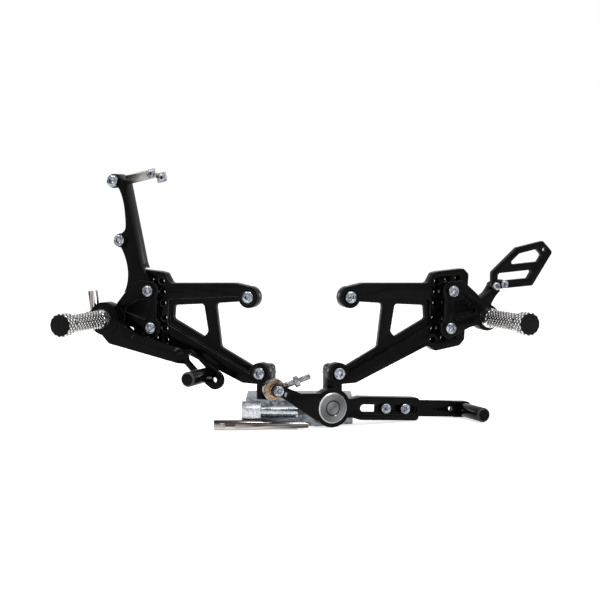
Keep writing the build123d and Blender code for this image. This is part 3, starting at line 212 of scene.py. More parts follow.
looks = {
    # the black's edge tone is a painted highlight on its broken edges
    "blackAnodise": {"low": (0.0011, 0.0011, 0.0013), "high": (0.0034, 0.0032, 0.0032),
                     "rough": (0.12, 0.24), "patch": 60, "fine": 2600, "bump": 0.04,
                     "metallic": 0.0, "level": 0.055, "edge": (0.1, 0.092, 0.088)},
    "zincPlate": {"low": (0.08, 0.09, 0.115), "high": (0.4, 0.425, 0.46), "rough": (0.16, 0.3),
                  "patch": 300, "fine": 2400, "bump": 0.06, "ends": (0.36, 0.64)},
    "blockCast": {"low": (0.09, 0.105, 0.115), "high": (0.33, 0.355, 0.38), "rough": (0.3, 0.5),
                  "patch": 300, "fine": 1500, "bump": 0.3, "ends": (0.34, 0.68)},
    "hexZinc": {"low": (0.3, 0.325, 0.35), "high": (0.62, 0.64, 0.67), "rough": (0.2, 0.36),
                "patch": 420, "fine": 1500, "bump": 0.12},
    "turnedSteel": {"low": (0.045, 0.042, 0.04), "high": (0.3, 0.29, 0.28), "rough": (0.16, 0.3),
                    "patch": 260, "fine": 1800, "bump": 0.06, "ends": (0.36, 0.64)},
    "rodSteel": {"low": (0.05, 0.042, 0.04), "high": (0.46, 0.42, 0.4), "rough": (0.14, 0.26),
                 "patch": 330, "fine": 1800, "bump": 0.05, "stretch": (0.01, 1.0, 1.0),
                 "ends": (0.45, 0.58)},
    "tubeSteel": {"low": (0.03, 0.027, 0.025), "high": (0.62, 0.6, 0.58), "rough": (0.14, 0.26),
                  "patch": 300, "fine": 1800, "bump": 0.05, "stretch": (1.0, 1.0, 0.012),
                  "ends": (0.44, 0.58)},
    "satinStrip": {"low": (0.26, 0.24, 0.23), "high": (0.42, 0.4, 0.38), "rough": (0.34, 0.42),
                   "patch": 34, "fine": 900, "bump": 0.02},
    "bearingBronze": {"low": (0.15, 0.085, 0.045), "high": (0.4, 0.26, 0.16),
                      "rough": (0.28, 0.45), "patch": 500, "fine": 2200, "bump": 0.2},
    "plugPlastic": {"low": (0.0025, 0.0025, 0.0025), "high": (0.007, 0.0068, 0.0066),
                    "rough": (0.5, 0.68), "patch": 300, "fine": 1800, "bump": 0.3,
                    "metallic": 0.0, "level": 0.08},
}
finishes = {name: grainedFinish(name, **look) for name, look in looks.items()}

# the pivot cap's turned face: greys by the share of its radius with a painted highlight on the outer
# rim, a painted sheen of light and dark sectors round it, and lathe rings
cap = {"out": 13.0, "radius": 15.3, "spoke": 130.0, "tint": (1.0, 1.02, 1.06), "paintedSheen": 0.3,
       "paintedSheenTurns": 2.0, "patch": 350, "rough": (0.24, 0.36), "ringPitch": 0.9, "ringBump": 0.2,
       "ringDepth": 0.04,
       # the greys from 0.95 of the radius outwards paint a highlight on the rim
       "greys": [(0.0, 0.09), (0.4, 0.12), (0.44, 0.015), (0.48, 0.015),
                 (0.52, 0.1), (0.92, 0.12), (0.95, 0.5), (1.0, 0.5)]}


def capFinish(name, axis, spoke):
    finish, tree, shader, coords = newFinish(name)
    local = vectorMath(tree, "SUBTRACT", coords, onLever(0, 0, cap["out"]))
    reach = vectorMath(tree, "LENGTH", vectorMath(tree, "CROSS_PRODUCT", local, axis))
    angle = angleAbout(tree, local, spoke, axis.cross(spoke))
    # painted sheen: the tone is lifted and lowered in sectors round the cap, in place of the turned
    # face's reflection
    paintedSheen = maths(tree, "COSINE", maths(tree, "MULTIPLY", angle, cap["paintedSheenTurns"]))
    glow = maths(tree, "ADD", maths(tree, "MULTIPLY", paintedSheen, cap["paintedSheen"]), 1.0)
    tone = ramp(tree, maths(tree, "DIVIDE", reach, cap["radius"] * mm),
                [(share, [grey * tint for tint in cap["tint"]]) for share, grey in cap["greys"]])
    ringTurn = 2 * math.pi / (cap["ringPitch"] * mm)
    rings = maths(tree, "SINE", maths(tree, "MULTIPLY", reach, ringTurn))
    cloud = grain(tree, coords, cap["patch"], detail=4.0)
    shader.inputs["Metallic"].default_value = 1.0
    wire(tree, (scaled(tree, tone, glow), shader.inputs["Base Color"]),
         (spread(tree, cloud, *cap["rough"]), shader.inputs["Roughness"]))
    roughen(tree, shader, rings, cap["ringBump"], cap["ringDepth"] * mm)
    return finish


capSpoke = raised(rearward(shift), math.radians(cap["spoke"]))
finishes["turnedCap"] = capFinish("turnedCap", outward(shift), capSpoke)
print("finishes ready")

# degrees past which an edge is shaded sharp
sharpPast = {"lathed": 34.0, "broken": 38.0, "knurled": 28.0}


def sharpen(mesh, kind):
    mesh.set_sharp_from_angle(angle=math.radians(sharpPast[kind]))


def piece(name, mesh, body, material, nodes=()):
    obj = bpy.data.objects.new(name, mesh)
    scene.collection.objects.link(obj)
    mesh.materials.clear()
    mesh.materials.append(material)
    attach(obj, body)
    if nodes:
        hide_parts(*nodes)


def evaluated(obj):
    # the object's finished mesh, with its modifiers worked out
    bpy.context.view_layer.update()
    graph = bpy.context.evaluated_depsgraph_get()
    mesh = bpy.data.meshes.new_from_object(obj.evaluated_get(graph))
    holder = obj.data
    bpy.data.objects.remove(obj)
    bpy.data.meshes.remove(holder)
    return mesh


# Geometry Nodes: a new tree with its named inputs, its last nodes, and the mesh that it makes
def newTree(name, inputs):
    tree = bpy.data.node_groups.new(name, "GeometryNodeTree")
    for way in ("INPUT", "OUTPUT"):
        tree.interface.new_socket("Geometry", in_out=way, socket_type="NodeSocketGeometry")
    keys = {}
    for label, kind in inputs:
        keys[label] = tree.interface.new_socket(label, in_out="INPUT", socket_type=kind).identifier
    return tree, keys, tree.nodes.new("NodeGroupInput")


def closeTree(tree, geometry, finish):
    # real faces with the finish on them
    real = tree.nodes.new("GeometryNodeRealizeInstances")
    coat = tree.nodes.new("GeometryNodeSetMaterial")
    made = tree.nodes.new("NodeGroupOutput")
    wire(tree, (geometry, real.inputs["Geometry"]),
         (real.outputs["Geometry"], coat.inputs["Geometry"]),
         (finish, coat.inputs["Material"]),
         (coat.outputs["Geometry"], made.inputs["Geometry"]))


def grown(name, mesh, tree, keys, values):
    # the mesh that the tree makes from another mesh
    obj = bpy.data.objects.new(name + "_work", mesh)
    scene.collection.objects.link(obj)
    modifier = obj.modifiers.new("nodes", "NODES")
    modifier.node_group = tree
    for label, value in values.items():
        modifier[keys[label]] = value
    return evaluated(obj)


def attribute(tree, name, kind):
    node = tree.nodes.new("GeometryNodeInputNamedAttribute")
    node.data_type = kind
    node.inputs["Name"].default_value = name
    return node.outputs["Attribute"]


def carry(mesh, name, kind, values):
    # a value on each vertex, for a node tree to read
    field = mesh.attributes.new(name, kind, "POINT")
    for step, value in enumerate(values):
        if kind == "FLOAT":
            field.data[step].value = value
        else:
            field.data[step].vector = value


def lathe(name, profile, segments):
    # rings about Z from (radius, height, half flats) in mm: a third value makes that ring a hexagon
    verts = []
    faces = []
    last = None
    for radius, height, flats in profile:
        if radius == 0 and not flats:
            ring = [len(verts)] * segments
            verts.append((0, 0, height * mm))
        else:
            ring = list(range(len(verts), len(verts) + segments))
            for step in range(segments):
                angle = 2 * math.pi * step / segments
                reach = radius
                if flats:
                    reach = flats / math.cos((angle + math.pi / 6) % (math.pi / 3) - math.pi / 6)
                reach *= mm
                verts.append((reach * math.cos(angle), reach * math.sin(angle), height * mm))
        if last:
            for step in range(segments):
                after = (step + 1) % segments
                corners = [last[step], last[after], ring[after], ring[step]]
                faces.append(list(dict.fromkeys(corners)))
        last = ring
    mesh = bpy.data.meshes.new(name)
    mesh.from_pydata(verts, [], faces)
    mesh.update()
    for polygon in mesh.polygons:
        polygon.use_smooth = True
    sharpen(mesh, "lathed")
    return mesh


def frameAt(place, axis):
    # a turn and shift that puts a lathed mesh on its place, its Z along the axis
    return Matrix.Translation(place) @ axis.to_track_quat("Z", "Y").to_matrix().to_4x4()


# machined pieces: the CAD shape with its sharp edges broken, in mm and degrees
machined = {"edge": 0.85, "steps": 2, "turn": 32.0, "weld": 0.002, "flat": 0.4}
machinedNodes = {
    "stand": ["brake_post", "shift_post", "brake_bracket", "shift_bracket", "brake_carrier",
              "shift_carrier", "cylinder_arm", "heel_guard"],
    "brake_pedal": ["brake_pedal", "brake_toe_peg"],
    "shift_lever": ["shift_lever"],
    "lever_extension": ["lever_extension", "shift_toe_peg"],
}


def brokenEdges(node, width, source=None):
    mesh = (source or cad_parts[node].data).copy()
    work = bmesh.new()
    work.from_mesh(mesh)
    bmesh.ops.remove_doubles(work, verts=work.verts, dist=machined["weld"] * mm)
    bmesh.ops.dissolve_limit(work, angle_limit=math.radians(machined["flat"]), verts=work.verts,
                             edges=work.edges)
    work.to_mesh(mesh)
    work.free()
    mesh.materials.clear()
    for coat in (None, None):  # the bevel puts the faces that it adds in the second slot
        mesh.materials.append(coat)
    obj = bpy.data.objects.new(node + "_work", mesh)
    scene.collection.objects.link(obj)
    bevel = obj.modifiers.new("edges", "BEVEL")
    bevel.material = 1
    bevel.width = width * mm
    bevel.segments = machined["steps"]
    bevel.limit_method = "ANGLE"
    bevel.angle_limit = math.radians(machined["turn"])
    bevel.use_clamp_overlap = True
    bevel.miter_outer = "MITER_ARC"
    result = evaluated(obj)
    sharpen(result, "broken")
    # the bevel's faces are marked here for the painted highlight on broken edges
    broken = result.attributes.new("broken", "FLOAT", "FACE")
    broken.data.foreach_set("value", [float(face.material_index) for face in result.polygons])
    result.polygons.foreach_set("material_index", [0] * len(result.polygons))
    result.materials.clear()
    return result


for body, nodes in machinedNodes.items():
    for node in nodes:
        piece(node + ".edged", brokenEdges(node, machined["edge"]), body, finishes["blackAnodise"],
              [node])
print("machined pieces ready")

# bright pieces that only need their edges broken: node, body, width in mm, finish, slot
brightPieces = [
    ("bridge_block", "stand", 0.8, "blockCast", "block_aluminium"),
    ("cross_bolt", "stand", 0.7, "hexZinc", "zinc_steel"),
    ("shift_rod", "stand", 0.5, "rodSteel", "stainless"),
    ("brake_pushrod", "brake_pushrod", 0.5, "tubeSteel", "stainless"),
    ("reservoir_bracket", "stand", 0.25, "satinStrip", "stainless"),
    ("post_nuts", "stand", 0.5, "zincPlate", "zinc_steel"),
    ("rod_end_nut", "shift_lever", 0.4, "zincPlate", "zinc_steel"),
    ("rod_end_locknut", "rod_end", 0.5, "zincPlate", "zinc_steel"),
    ("pushrod_pin", "brake_pedal", 0.4, "zincPlate", "zinc_steel"),
]
for node, body, width, finish, slot in brightPieces:
    piece(node + ".edged", brokenEdges(node, width), body, finishes[finish], [node])
print("bright pieces ready")


# socket screws: one lathed screw per kind, set on points that carry their axis
def buildScrewTree():
    tree, keys, given = newTree("setScrews", [
        ("Screw", "NodeSocketObject"), ("Spin", "NodeSocketFloat"), ("Seed", "NodeSocketInt"),
        ("Finish", "NodeSocketMaterial")])
    fetch = tree.nodes.new("GeometryNodeObjectInfo")
    fetch.inputs["As Instance"].default_value = True
    aim = tree.nodes.new("FunctionNodeAlignRotationToVector")
    aim.axis = "Z"
    place = tree.nodes.new("GeometryNodeInstanceOnPoints")
    turn = tree.nodes.new("FunctionNodeRandomValue")
    turn.data_type = "FLOAT"
    limits = [socket for socket in turn.inputs if socket.type == "VALUE" and socket.enabled]
    turned = [socket for socket in turn.outputs if socket.enabled][0]
    aboutZ = tree.nodes.new("ShaderNodeCombineXYZ")
    spin = tree.nodes.new("GeometryNodeRotateInstances")
    spin.inputs["Local Space"].default_value = True
    wire(tree, (given.outputs["Screw"], fetch.inputs["Object"]),
         (attribute(tree, "axis", "FLOAT_VECTOR"), aim.inputs["Vector"]),
         (given.outputs["Geometry"], place.inputs["Points"]),
         (fetch.outputs["Geometry"], place.inputs["Instance"]),
         (aim.outputs["Rotation"], place.inputs["Rotation"]),
         (given.outputs["Spin"], limits[1]),
         (given.outputs["Seed"], turn.inputs["Seed"]),
         (turned, aboutZ.inputs["Z"]),
         (place.outputs["Instances"], spin.inputs["Instances"]),
         (aboutZ.outputs[0], spin.inputs["Rotation"]))
    closeTree(tree, spin.outputs["Instances"], given.outputs["Finish"])
    return tree, keys


screwTree, screwKeys = buildScrewTree()

# the random turn in radians, and how the head's edges are eased and its socket is cut, in mm
screwLook = {"spin": 1.0, "seed": 7, "segments": 36, "side": 0.9, "round": (0.25, 0.35), "face": 0.8,
             "socketEdge": 0.3, "drill": 1.6}


def threadRings(radius, start, stop, pitch, depth=0.25):
    # a zigzag of rings up a threaded length
    turns = max(1, round((stop - start) / pitch))
    rings = []
    for step in range(turns):
        low = start + (stop - start) * step / turns
        rings.append((radius - depth, low, 0))
        rings.append((radius + depth, low + (stop - start) / turns / 2, 0))
    rings.append((radius - depth, stop, 0))
    return rings


def screwMesh(name, size):
    # head above the seat, plain shank below it, and a threaded free end where there is one
    seatEnd = -size["shank"]
    end = seatEnd - size.get("thread", 0)
    profile = [(0, end, 0)]
    if size.get("thread"):
        profile += threadRings(size["threadR"], end, seatEnd, size["pitch"])
    profile += [(size["shankR"], seatEnd, 0), (size["shankR"], 0, 0)]
    head, tall, socket = size["headR"], size["headH"], size["socket"]
    roundIn, roundDown = screwLook["round"]
    bottom = tall - size["sunk"]
    profile += [(head, 0, 0), (head, tall - screwLook["side"], 0),
                (head - roundIn, tall - roundDown, 0), (head - screwLook["face"], tall, 0),
                (1, tall, socket + screwLook["socketEdge"]),
                (1, tall - screwLook["socketEdge"], socket), (1, bottom, socket),
                (0, bottom - screwLook["drill"], 0)]
    return lathe(name, profile, screwLook["segments"])


def setOn(node, one, finish, spots):
    # the mesh of one lathed piece set on every spot
    base = bpy.data.objects.new(node + "_one", one)
    scene.collection.objects.link(base)
    points = bpy.data.meshes.new(node + "_spots")
    points.from_pydata([place for place, axis in spots], [], [])
    carry(points, "axis", "FLOAT_VECTOR", [axis for place, axis in spots])
    mesh = grown(node, points, screwTree, screwKeys, {
        "Screw": base, "Spin": screwLook["spin"], "Seed": screwLook["seed"], "Finish": finish})
    bpy.data.objects.remove(base)
    bpy.data.meshes.remove(one)
    return mesh


def seated(hand, out, *places):
    # spots on one side that face outwards
    return [(onSide(hand, back, rise, out), outward(hand)) for back, rise in places]


def onBoth(out, place):
    return seated(brake, out, place) + seated(shift, out, place)


def fromBehind(hand, out, place):
    return [(onSide(hand, *place, out), -outward(hand))]


# places on a side are (rearwards, up), in mm
m8 = {"headR": 6.1, "headH": 5.0, "shankR": 4.0, "socket": 3.0, "sunk": 3.0, "threadR": 3.6,
      "pitch": 1.25}
m6 = {"headR": 5.8, "headH": 4.0, "shankR": 3.0, "socket": 2.5, "sunk": 2.4}
m5 = {"headR": 4.2, "headH": 2.8, "shankR": 2.5, "socket": 1.6, "sunk": 1.7}
m10 = {"headR": 8.0, "headH": 6.0, "shankR": 5.0, "socket": 4.0, "sunk": 4.0}
frameBolts = {"lower": (0, 0), "upper": (12.4, 76.0), "out": 7.0, "free": 13.0}
cylinder = {"top": (162.5, 192.0), "low": (154.9, 130.9), "out": 16.6, "free": 10.0}
pegSeat = {"place": (164.5, 51.0), "brakeBolt": 13.0, "shiftBolt": 10.0, "brakePeg": 37.4,
           "shiftPeg": 22.0}
toes = {"brake": (49.9, -1.6), "brakeOut": 24.3, "shiftAlong": 151.5}
extension = {"screws": (60.3, 82.3), "out": 9.57}
rodBolt = {"place": (-60.2, 15.9), "out": 12.0}  # along and up from the lever's pivot
post = {"screwZ": 4.3, "reach": 31.7, "out": -6.0}
carrierOut = {"brake": 16.6, "shift": 22.0}
grid = {"back": 122.2, "rise": 79.6, "drop": 37.7, "lean": 2.9, "column": (12.2, 1.2),
        "row": (0.85, 11.3), "wall": 3.16, "crest": 2.75, "root": 3.05, "deep": 7.2, "inset": 0.3,
        "pitch": 1.0, "segments": 24}
ringPlaces = [(grid["back"], grid["rise"]),
              (grid["back"] - grid["lean"], grid["rise"] - grid["drop"])]
guard = {"back": 174.0, "rise": 83.4, "pitch": 9.7, "tilt": math.radians(11)}
guardPlaces = [(guard["back"], guard["rise"]),
               (guard["back"] + guard["pitch"] * math.cos(guard["tilt"]),
                guard["rise"] + guard["pitch"] * math.sin(guard["tilt"]))]
strip = {"tilt": math.radians(12), "arm": (35.0, 0, 0), "joggled": (44.6, -6.0, -5.0)}


def onStrip(along, up, out):
    # a point on the reservoir strip, along and up from the cylinder arm's top bolt
    back = cylinder["top"][0] - along * math.cos(strip["tilt"]) + up * math.sin(strip["tilt"])
    rise = cylinder["top"][1] + along * math.sin(strip["tilt"]) + up * math.cos(strip["tilt"])
    return onSide(brake, back, rise, out)


postFoot = onSide(shift, 0, 0, post["out"])
down = Vector((0, 0, -1))

# every set of screws: node, body, size, spots
screwSets = [
    ("upper_frame_bolts", "stand", {**m8, "shank": 7.0, "thread": frameBolts["free"]},
     onBoth(frameBolts["out"], frameBolts["upper"])),
    ("lower_frame_bolts", "stand", {**m8, "shank": 23.5},
     onBoth(frameBolts["out"], frameBolts["lower"])),
    ("cylinder_bolts", "stand", {**m8, "shank": 18.6, "thread": cylinder["free"]},
     seated(brake, cylinder["out"], cylinder["top"], cylinder["low"])),
    ("brake_carrier_bolts", "stand", {**m6, "shank": carrierOut["brake"]},
     seated(brake, carrierOut["brake"], *ringPlaces)),
    ("shift_carrier_bolts", "stand", {**m6, "shank": carrierOut["shift"]},
     seated(shift, carrierOut["shift"], *ringPlaces)),
    ("heel_guard_screws", "stand", {**m5, "shank": 12.0},
     seated(shift, carrierOut["shift"], *guardPlaces)),
    ("brake_peg_bolt", "stand", {**m10, "shank": 58.4},
     fromBehind(brake, pegSeat["brakeBolt"], pegSeat["place"])),
    ("shift_peg_bolt", "stand", {**m10, "shank": 46.0},
     fromBehind(shift, pegSeat["shiftBolt"], pegSeat["place"])),
    ("brake_toe_bolt", "brake_pedal", {**m6, "shank": 30.0},
     fromBehind(brake, toes["brakeOut"], toes["brake"])),
    ("shift_toe_bolt", "lever_extension", {**m6, "shank": 37.0},
     [(onLever(toes["shiftAlong"], 0, 0), -outward(shift))]),
    ("extension_screws", "lever_extension", {**m5, "headR": 5.4, "shank": 9.5, "socket": 2.0},
     [(onLever(along, 0, extension["out"]), outward(shift)) for along in extension["screws"]]),
    ("rod_end_bolt", "shift_lever",
     {**m6, "headR": 5.4, "headH": 2.5, "shank": 21.5, "sunk": 1.5, "socket": 2.2},
     [(onLever(*rodBolt["place"], rodBolt["out"]), outward(shift))]),
    ("post_screws", "stand", {**m6, "shank": post["reach"]},
     [(Vector((hand * postFoot.x, postFoot.y, post["screwZ"] * mm)), down)
      for hand in sides.values()]),
    ("reservoir_screws", "stand", {**m5, "headH": 2.6, "shank": 6.0},
     [(onStrip(*strip[end]), outward(brake)) for end in ("arm", "joggled")]),
]
for node, body, size, spots in screwSets:
    mesh = setOn(node, screwMesh(node + "_one", size), finishes["zincPlate"], spots)
    piece(node + ".screws", mesh, body, finishes["zincPlate"], [node])

# threads in the spare holes round each carrier bolt
spareSteps = [(column, row) for column in (-1, 0, 1) for row in (-1, 0, 1) if column or row]
sparePlaces = [(back + column * grid["column"][0] + row * grid["row"][0],
                rise + column * grid["column"][1] + row * grid["row"][1])
               for back, rise in ringPlaces for column, row in spareSteps]
threadRadius = (grid["crest"] + grid["root"]) / 2
threadDepth = (grid["root"] - grid["crest"]) / 2
threadProfile = [(grid["wall"], 0, 0), (grid["wall"], grid["deep"], 0)]
threadProfile += threadRings(threadRadius, 0, grid["deep"], grid["pitch"], threadDepth)[::-1]
threadProfile.append((grid["wall"], 0, 0))
for side, hand in sides.items():
    one = lathe(side + "_thread", threadProfile, grid["segments"])
    threads = setOn(side + "_threads", one, finishes["blackAnodise"],
                    seated(hand, grid["inset"], *sparePlaces))
    piece(side + "_bracket.threads", threads, "stand", finishes["blackAnodise"])
print("screws ready")

# knurled footpegs: a fine lathed peg whose grip is cut by two crossing families of grooves
peg = {"base": 10.2, "baseL": 6.0, "waist": 9.1, "waistL": 3, "grip": 9.4, "gripAt": 12, "flare": 6,
       "tip": 11.9, "tipL": 12.0, "tipRound": (0.5, 1), "length": 78.0, "plug": 9.1, "plugL": 3.3,
       "segments": 168, "step": 0.42}
knurl = {"around": 13.0, "pitch": 5.0, "depth": 0.95, "start": 9.5, "stop": 0.6, "clear": 0.05}
# the tone for the knurl's grooves is painted shade
gripLook = {"groove": (0.05, 0.048, 0.047), "crest": (0.9, 0.885, 0.875), "ends": (0.22, 0.5),
            "plain": 0.27, "patch": 260, "cloudy": 0.3, "rough": (0.14, 0.28), "fine": 2600,
            "bump": 0.1}
pegOutline = [(peg["base"], 0), (peg["base"], peg["baseL"]),
              (peg["waist"], peg["baseL"] + peg["waistL"]),
              (peg["grip"], peg["baseL"] + peg["gripAt"]),
              (peg["grip"], peg["length"] - peg["tipL"] - peg["flare"]),
              (peg["tip"], peg["length"] - peg["tipL"]),
              (peg["tip"], peg["length"] - peg["tipRound"][1]),
              (peg["tip"] - peg["tipRound"][0], peg["length"])]


def knurlCrest(tree, around, along):
    # from 0 in either family's grooves to 0.5 on the crests between them
    return maths(tree, "MINIMUM", *[maths(tree, "PINGPONG", maths(tree, family, around, along), 0.5)
                                    for family in ("ADD", "SUBTRACT")])


def buildKnurlTree():
    tree, keys, given = newTree("knurlGrip", [
        ("Around", "NodeSocketFloat"), ("Pitch", "NodeSocketFloat"), ("Depth", "NodeSocketFloat"),
        ("Finish", "NodeSocketMaterial")])
    around = maths(tree, "MULTIPLY", attribute(tree, "around", "FLOAT"), given.outputs["Around"])
    along = maths(tree, "DIVIDE", attribute(tree, "along", "FLOAT"), given.outputs["Pitch"])
    crest = knurlCrest(tree, around, along)
    sunkBy = maths(tree, "SUBTRACT", 1.0, maths(tree, "MULTIPLY", crest, 2.0))
    cutDepth = maths(tree, "MULTIPLY", maths(tree, "MULTIPLY", sunkBy, given.outputs["Depth"]),
                     attribute(tree, "gripped", "FLOAT"))
    shape = tree.nodes.new("GeometryNodeSetPosition")
    wire(tree, (given.outputs["Geometry"], shape.inputs["Geometry"]),
         (scaled(tree, attribute(tree, "inwards", "FLOAT_VECTOR"), cutDepth), shape.inputs["Offset"]))
    closeTree(tree, shape.outputs["Geometry"], given.outputs["Finish"])
    return tree, keys


knurlTree, knurlKeys = buildKnurlTree()


def pegMesh(name):
    profile = [(0, 0, 0)]
    for (firstR, firstZ), (nextR, nextZ) in zip(pegOutline, pegOutline[1:]):
        steps = 1
        if nextZ > knurl["start"]:
            steps = max(1, math.ceil((nextZ - firstZ) / peg["step"]))
        for step in range(steps):
            share = step / steps
            profile.append((firstR + (nextR - firstR) * share, firstZ + (nextZ - firstZ) * share, 0))
    profile.append((*pegOutline[-1], 0))
    profile += [(peg["plug"], peg["length"], 0), (peg["plug"], peg["length"] - peg["plugL"], 0),
                (0, peg["length"] - peg["plugL"], 0)]
    return lathe(name, profile, peg["segments"])


def gripFinish(name, seat, axis):
    # bright on the knurl's crests and dark in its grooves, where the dark is painted shade, by the
    # same count as the tree's
    finish, tree, shader, coords = newFinish(name)
    turn = frameAt(seat, axis).to_3x3()
    local = vectorMath(tree, "SUBTRACT", coords, seat)
    height = vectorMath(tree, "DOT_PRODUCT", local, axis)
    angle = angleAbout(tree, local, turn.col[0], turn.col[1])
    around = maths(tree, "MULTIPLY", angle, knurl["around"] / (2 * math.pi))
    along = maths(tree, "DIVIDE", height, knurl["pitch"] * mm)
    crest = knurlCrest(tree, around, along)
    belowGrip = maths(tree, "LESS_THAN", height, knurl["start"] * mm)
    plain = maths(tree, "MULTIPLY", belowGrip, gripLook["plain"])
    cloud = grain(tree, coords, gripLook["patch"], detail=3.0)
    tooth = grain(tree, coords, gripLook["fine"], detail=2.0)
    level = maths(tree, "ADD", maths(tree, "MAXIMUM", crest, plain),
                  maths(tree, "MULTIPLY", cloud, gripLook["cloudy"]))
    # the groove tone paints shade into the grooves
    tones = list(zip(gripLook["ends"], (gripLook["groove"], gripLook["crest"])))
    shader.inputs["Metallic"].default_value = 1.0
    wire(tree, (ramp(tree, level, tones), shader.inputs["Base Color"]),
         (spread(tree, cloud, *gripLook["rough"]), shader.inputs["Roughness"]))
    roughen(tree, shader, tooth, gripLook["bump"], toothDepth)
    return finish


def knurledPeg(node, seat, axis):
    finish = gripFinish(node + "Grip", seat, axis)
    mesh = pegMesh(node)
    spots = [vertex.co.copy() for vertex in mesh.vertices]
    top = peg["length"] - knurl["stop"]
    gripped = []
    for spot in spots:
        outside = math.hypot(spot.x, spot.y) / mm > peg["plug"] + knurl["clear"]
        gripped.append(float(knurl["start"] < spot.z / mm < top and outside))
    carry(mesh, "around", "FLOAT", [math.atan2(spot.y, spot.x) / (2 * math.pi) for spot in spots])
    carry(mesh, "along", "FLOAT", [spot.z / mm for spot in spots])
    carry(mesh, "gripped", "FLOAT", gripped)
    carry(mesh, "inwards", "FLOAT_VECTOR",
          [Vector((-spot.x, -spot.y, 0)).normalized() for spot in spots])
    mesh = grown(node, mesh, knurlTree, knurlKeys, {
        "Around": knurl["around"], "Pitch": knurl["pitch"], "Depth": knurl["depth"] * mm,
        "Finish": finish})
    for label in ("around", "along", "gripped", "inwards"):
        mesh.attributes.remove(mesh.attributes[label])
    sharpen(mesh, "knurled")
    mesh.transform(frameAt(seat, axis))
    piece(node + ".knurled", mesh, "stand", finish, [node])


plug = {"flange": 10.5, "thick": 1.6, "stem": 8.8, "stemL": 3.0, "gap": 0.05, "round": (0.2, 0.7),
        "segments": 64}
plugProfile = [(0, -plug["stemL"], 0), (plug["stem"], -plug["stemL"], 0),
               (plug["stem"], plug["gap"], 0), (plug["flange"], plug["gap"], 0),
               (plug["flange"], plug["thick"] - plug["round"][1], 0),
               (plug["flange"] - plug["round"][0], plug["thick"] - plug["round"][0], 0),
               (plug["flange"] - plug["round"][1], plug["thick"], 0), (0, plug["thick"], 0)]
for side, hand in sides.items():
    seat = onSide(hand, *pegSeat["place"], pegSeat[side + "Peg"])
    knurledPeg(side + "_footpeg", seat, outward(hand))
    mesh = lathe(side + "_peg_cap", plugProfile, plug["segments"])
    mesh.transform(frameAt(seat + outward(hand) * peg["length"] * mm, outward(hand)))
    piece(side + "_peg_cap.plug", mesh, "stand", finishes["plugPlastic"],
          [side + "_peg_cap"])
print("footpegs ready")

# rod end: the eye keeps its CAD shape up to the neck, and the stud gets its thread
rodEnd = {"rise": math.radians(19.5), "swing": math.radians(15.0), "out": 1.5, "edge": 0.5,
          "neckL": 15.0, "lap": 0.5, "coreR": 2.75, "freeR": 2.65, "nutAt": 21.0, "nutL": 5.0,
          "length": 38.0, "pitch": 1.0, "tipR": 1.95, "tipL": 0.4, "segments": 28}
eyeCentre = onLever(*rodBolt["place"], rodEnd["out"])
studFlat = rearward(shift) * math.cos(rodEnd["swing"]) + outward(shift) * math.sin(rodEnd["swing"])
studAxis = raised(studFlat, rodEnd["rise"])


def rodEye():
    # the CAD body cut off at the end of its neck
    cut = bmesh.new()
    cut.from_mesh(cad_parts["rod_end_body"].data)
    bmesh.ops.remove_doubles(cut, verts=cut.verts, dist=machined["weld"] * mm)
    bmesh.ops.bisect_plane(cut, geom=cut.verts[:] + cut.edges[:] + cut.faces[:], clear_outer=True,
                           plane_co=eyeCentre + studAxis * rodEnd["neckL"] * mm, plane_no=studAxis)
    bmesh.ops.holes_fill(cut, edges=[edge for edge in cut.edges if edge.is_boundary])
    mesh = bpy.data.meshes.new("rodEye")
    cut.to_mesh(mesh)
    cut.free()
    return brokenEdges("rod_end_body", rodEnd["edge"], mesh)


def rodStud():
    start = rodEnd["neckL"] - rodEnd["lap"]
    nutTop = rodEnd["nutAt"] + rodEnd["nutL"]
    tip = rodEnd["length"]
    profile = [(0, start, 0)]
    profile += threadRings(rodEnd["coreR"], start, nutTop, rodEnd["pitch"])
    profile += threadRings(rodEnd["freeR"], nutTop, tip - rodEnd["tipL"], rodEnd["pitch"])
    profile += [(rodEnd["tipR"], tip, 0), (0, tip, 0)]
    mesh = lathe("rodStud", profile, rodEnd["segments"])
    mesh.transform(frameAt(eyeCentre, studAxis))
    return mesh


both = bmesh.new()
for half in (rodEye(), rodStud()):
    both.from_mesh(half)
rodMesh = bpy.data.meshes.new("rodEnd")
both.to_mesh(rodMesh)
both.free()
sharpen(rodMesh, "broken")
piece("rod_end_body.threaded", rodMesh, "rod_end", finishes["turnedSteel"],
      ["rod_end_body"])
print("rod end ready")

# the other CAD nodes keep their shape and take a finish
plainFinish = {
    "lever_pivot_cap": "turnedCap", "brake_pivot_sleeve": "turnedSteel",
    "rod_end_ball": "turnedSteel", "brake_pedal_bush": "bearingBronze",
    "lever_bush": "bearingBronze", "rod_end_race": "bearingBronze",
}
for node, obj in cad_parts.items():
    if node in plainFinish or not obj.hide_render:
        obj.data.materials.clear()
        obj.data.materials.append(finishes[plainFinish.get(node, "zincPlate")])
print("plain nodes finished")

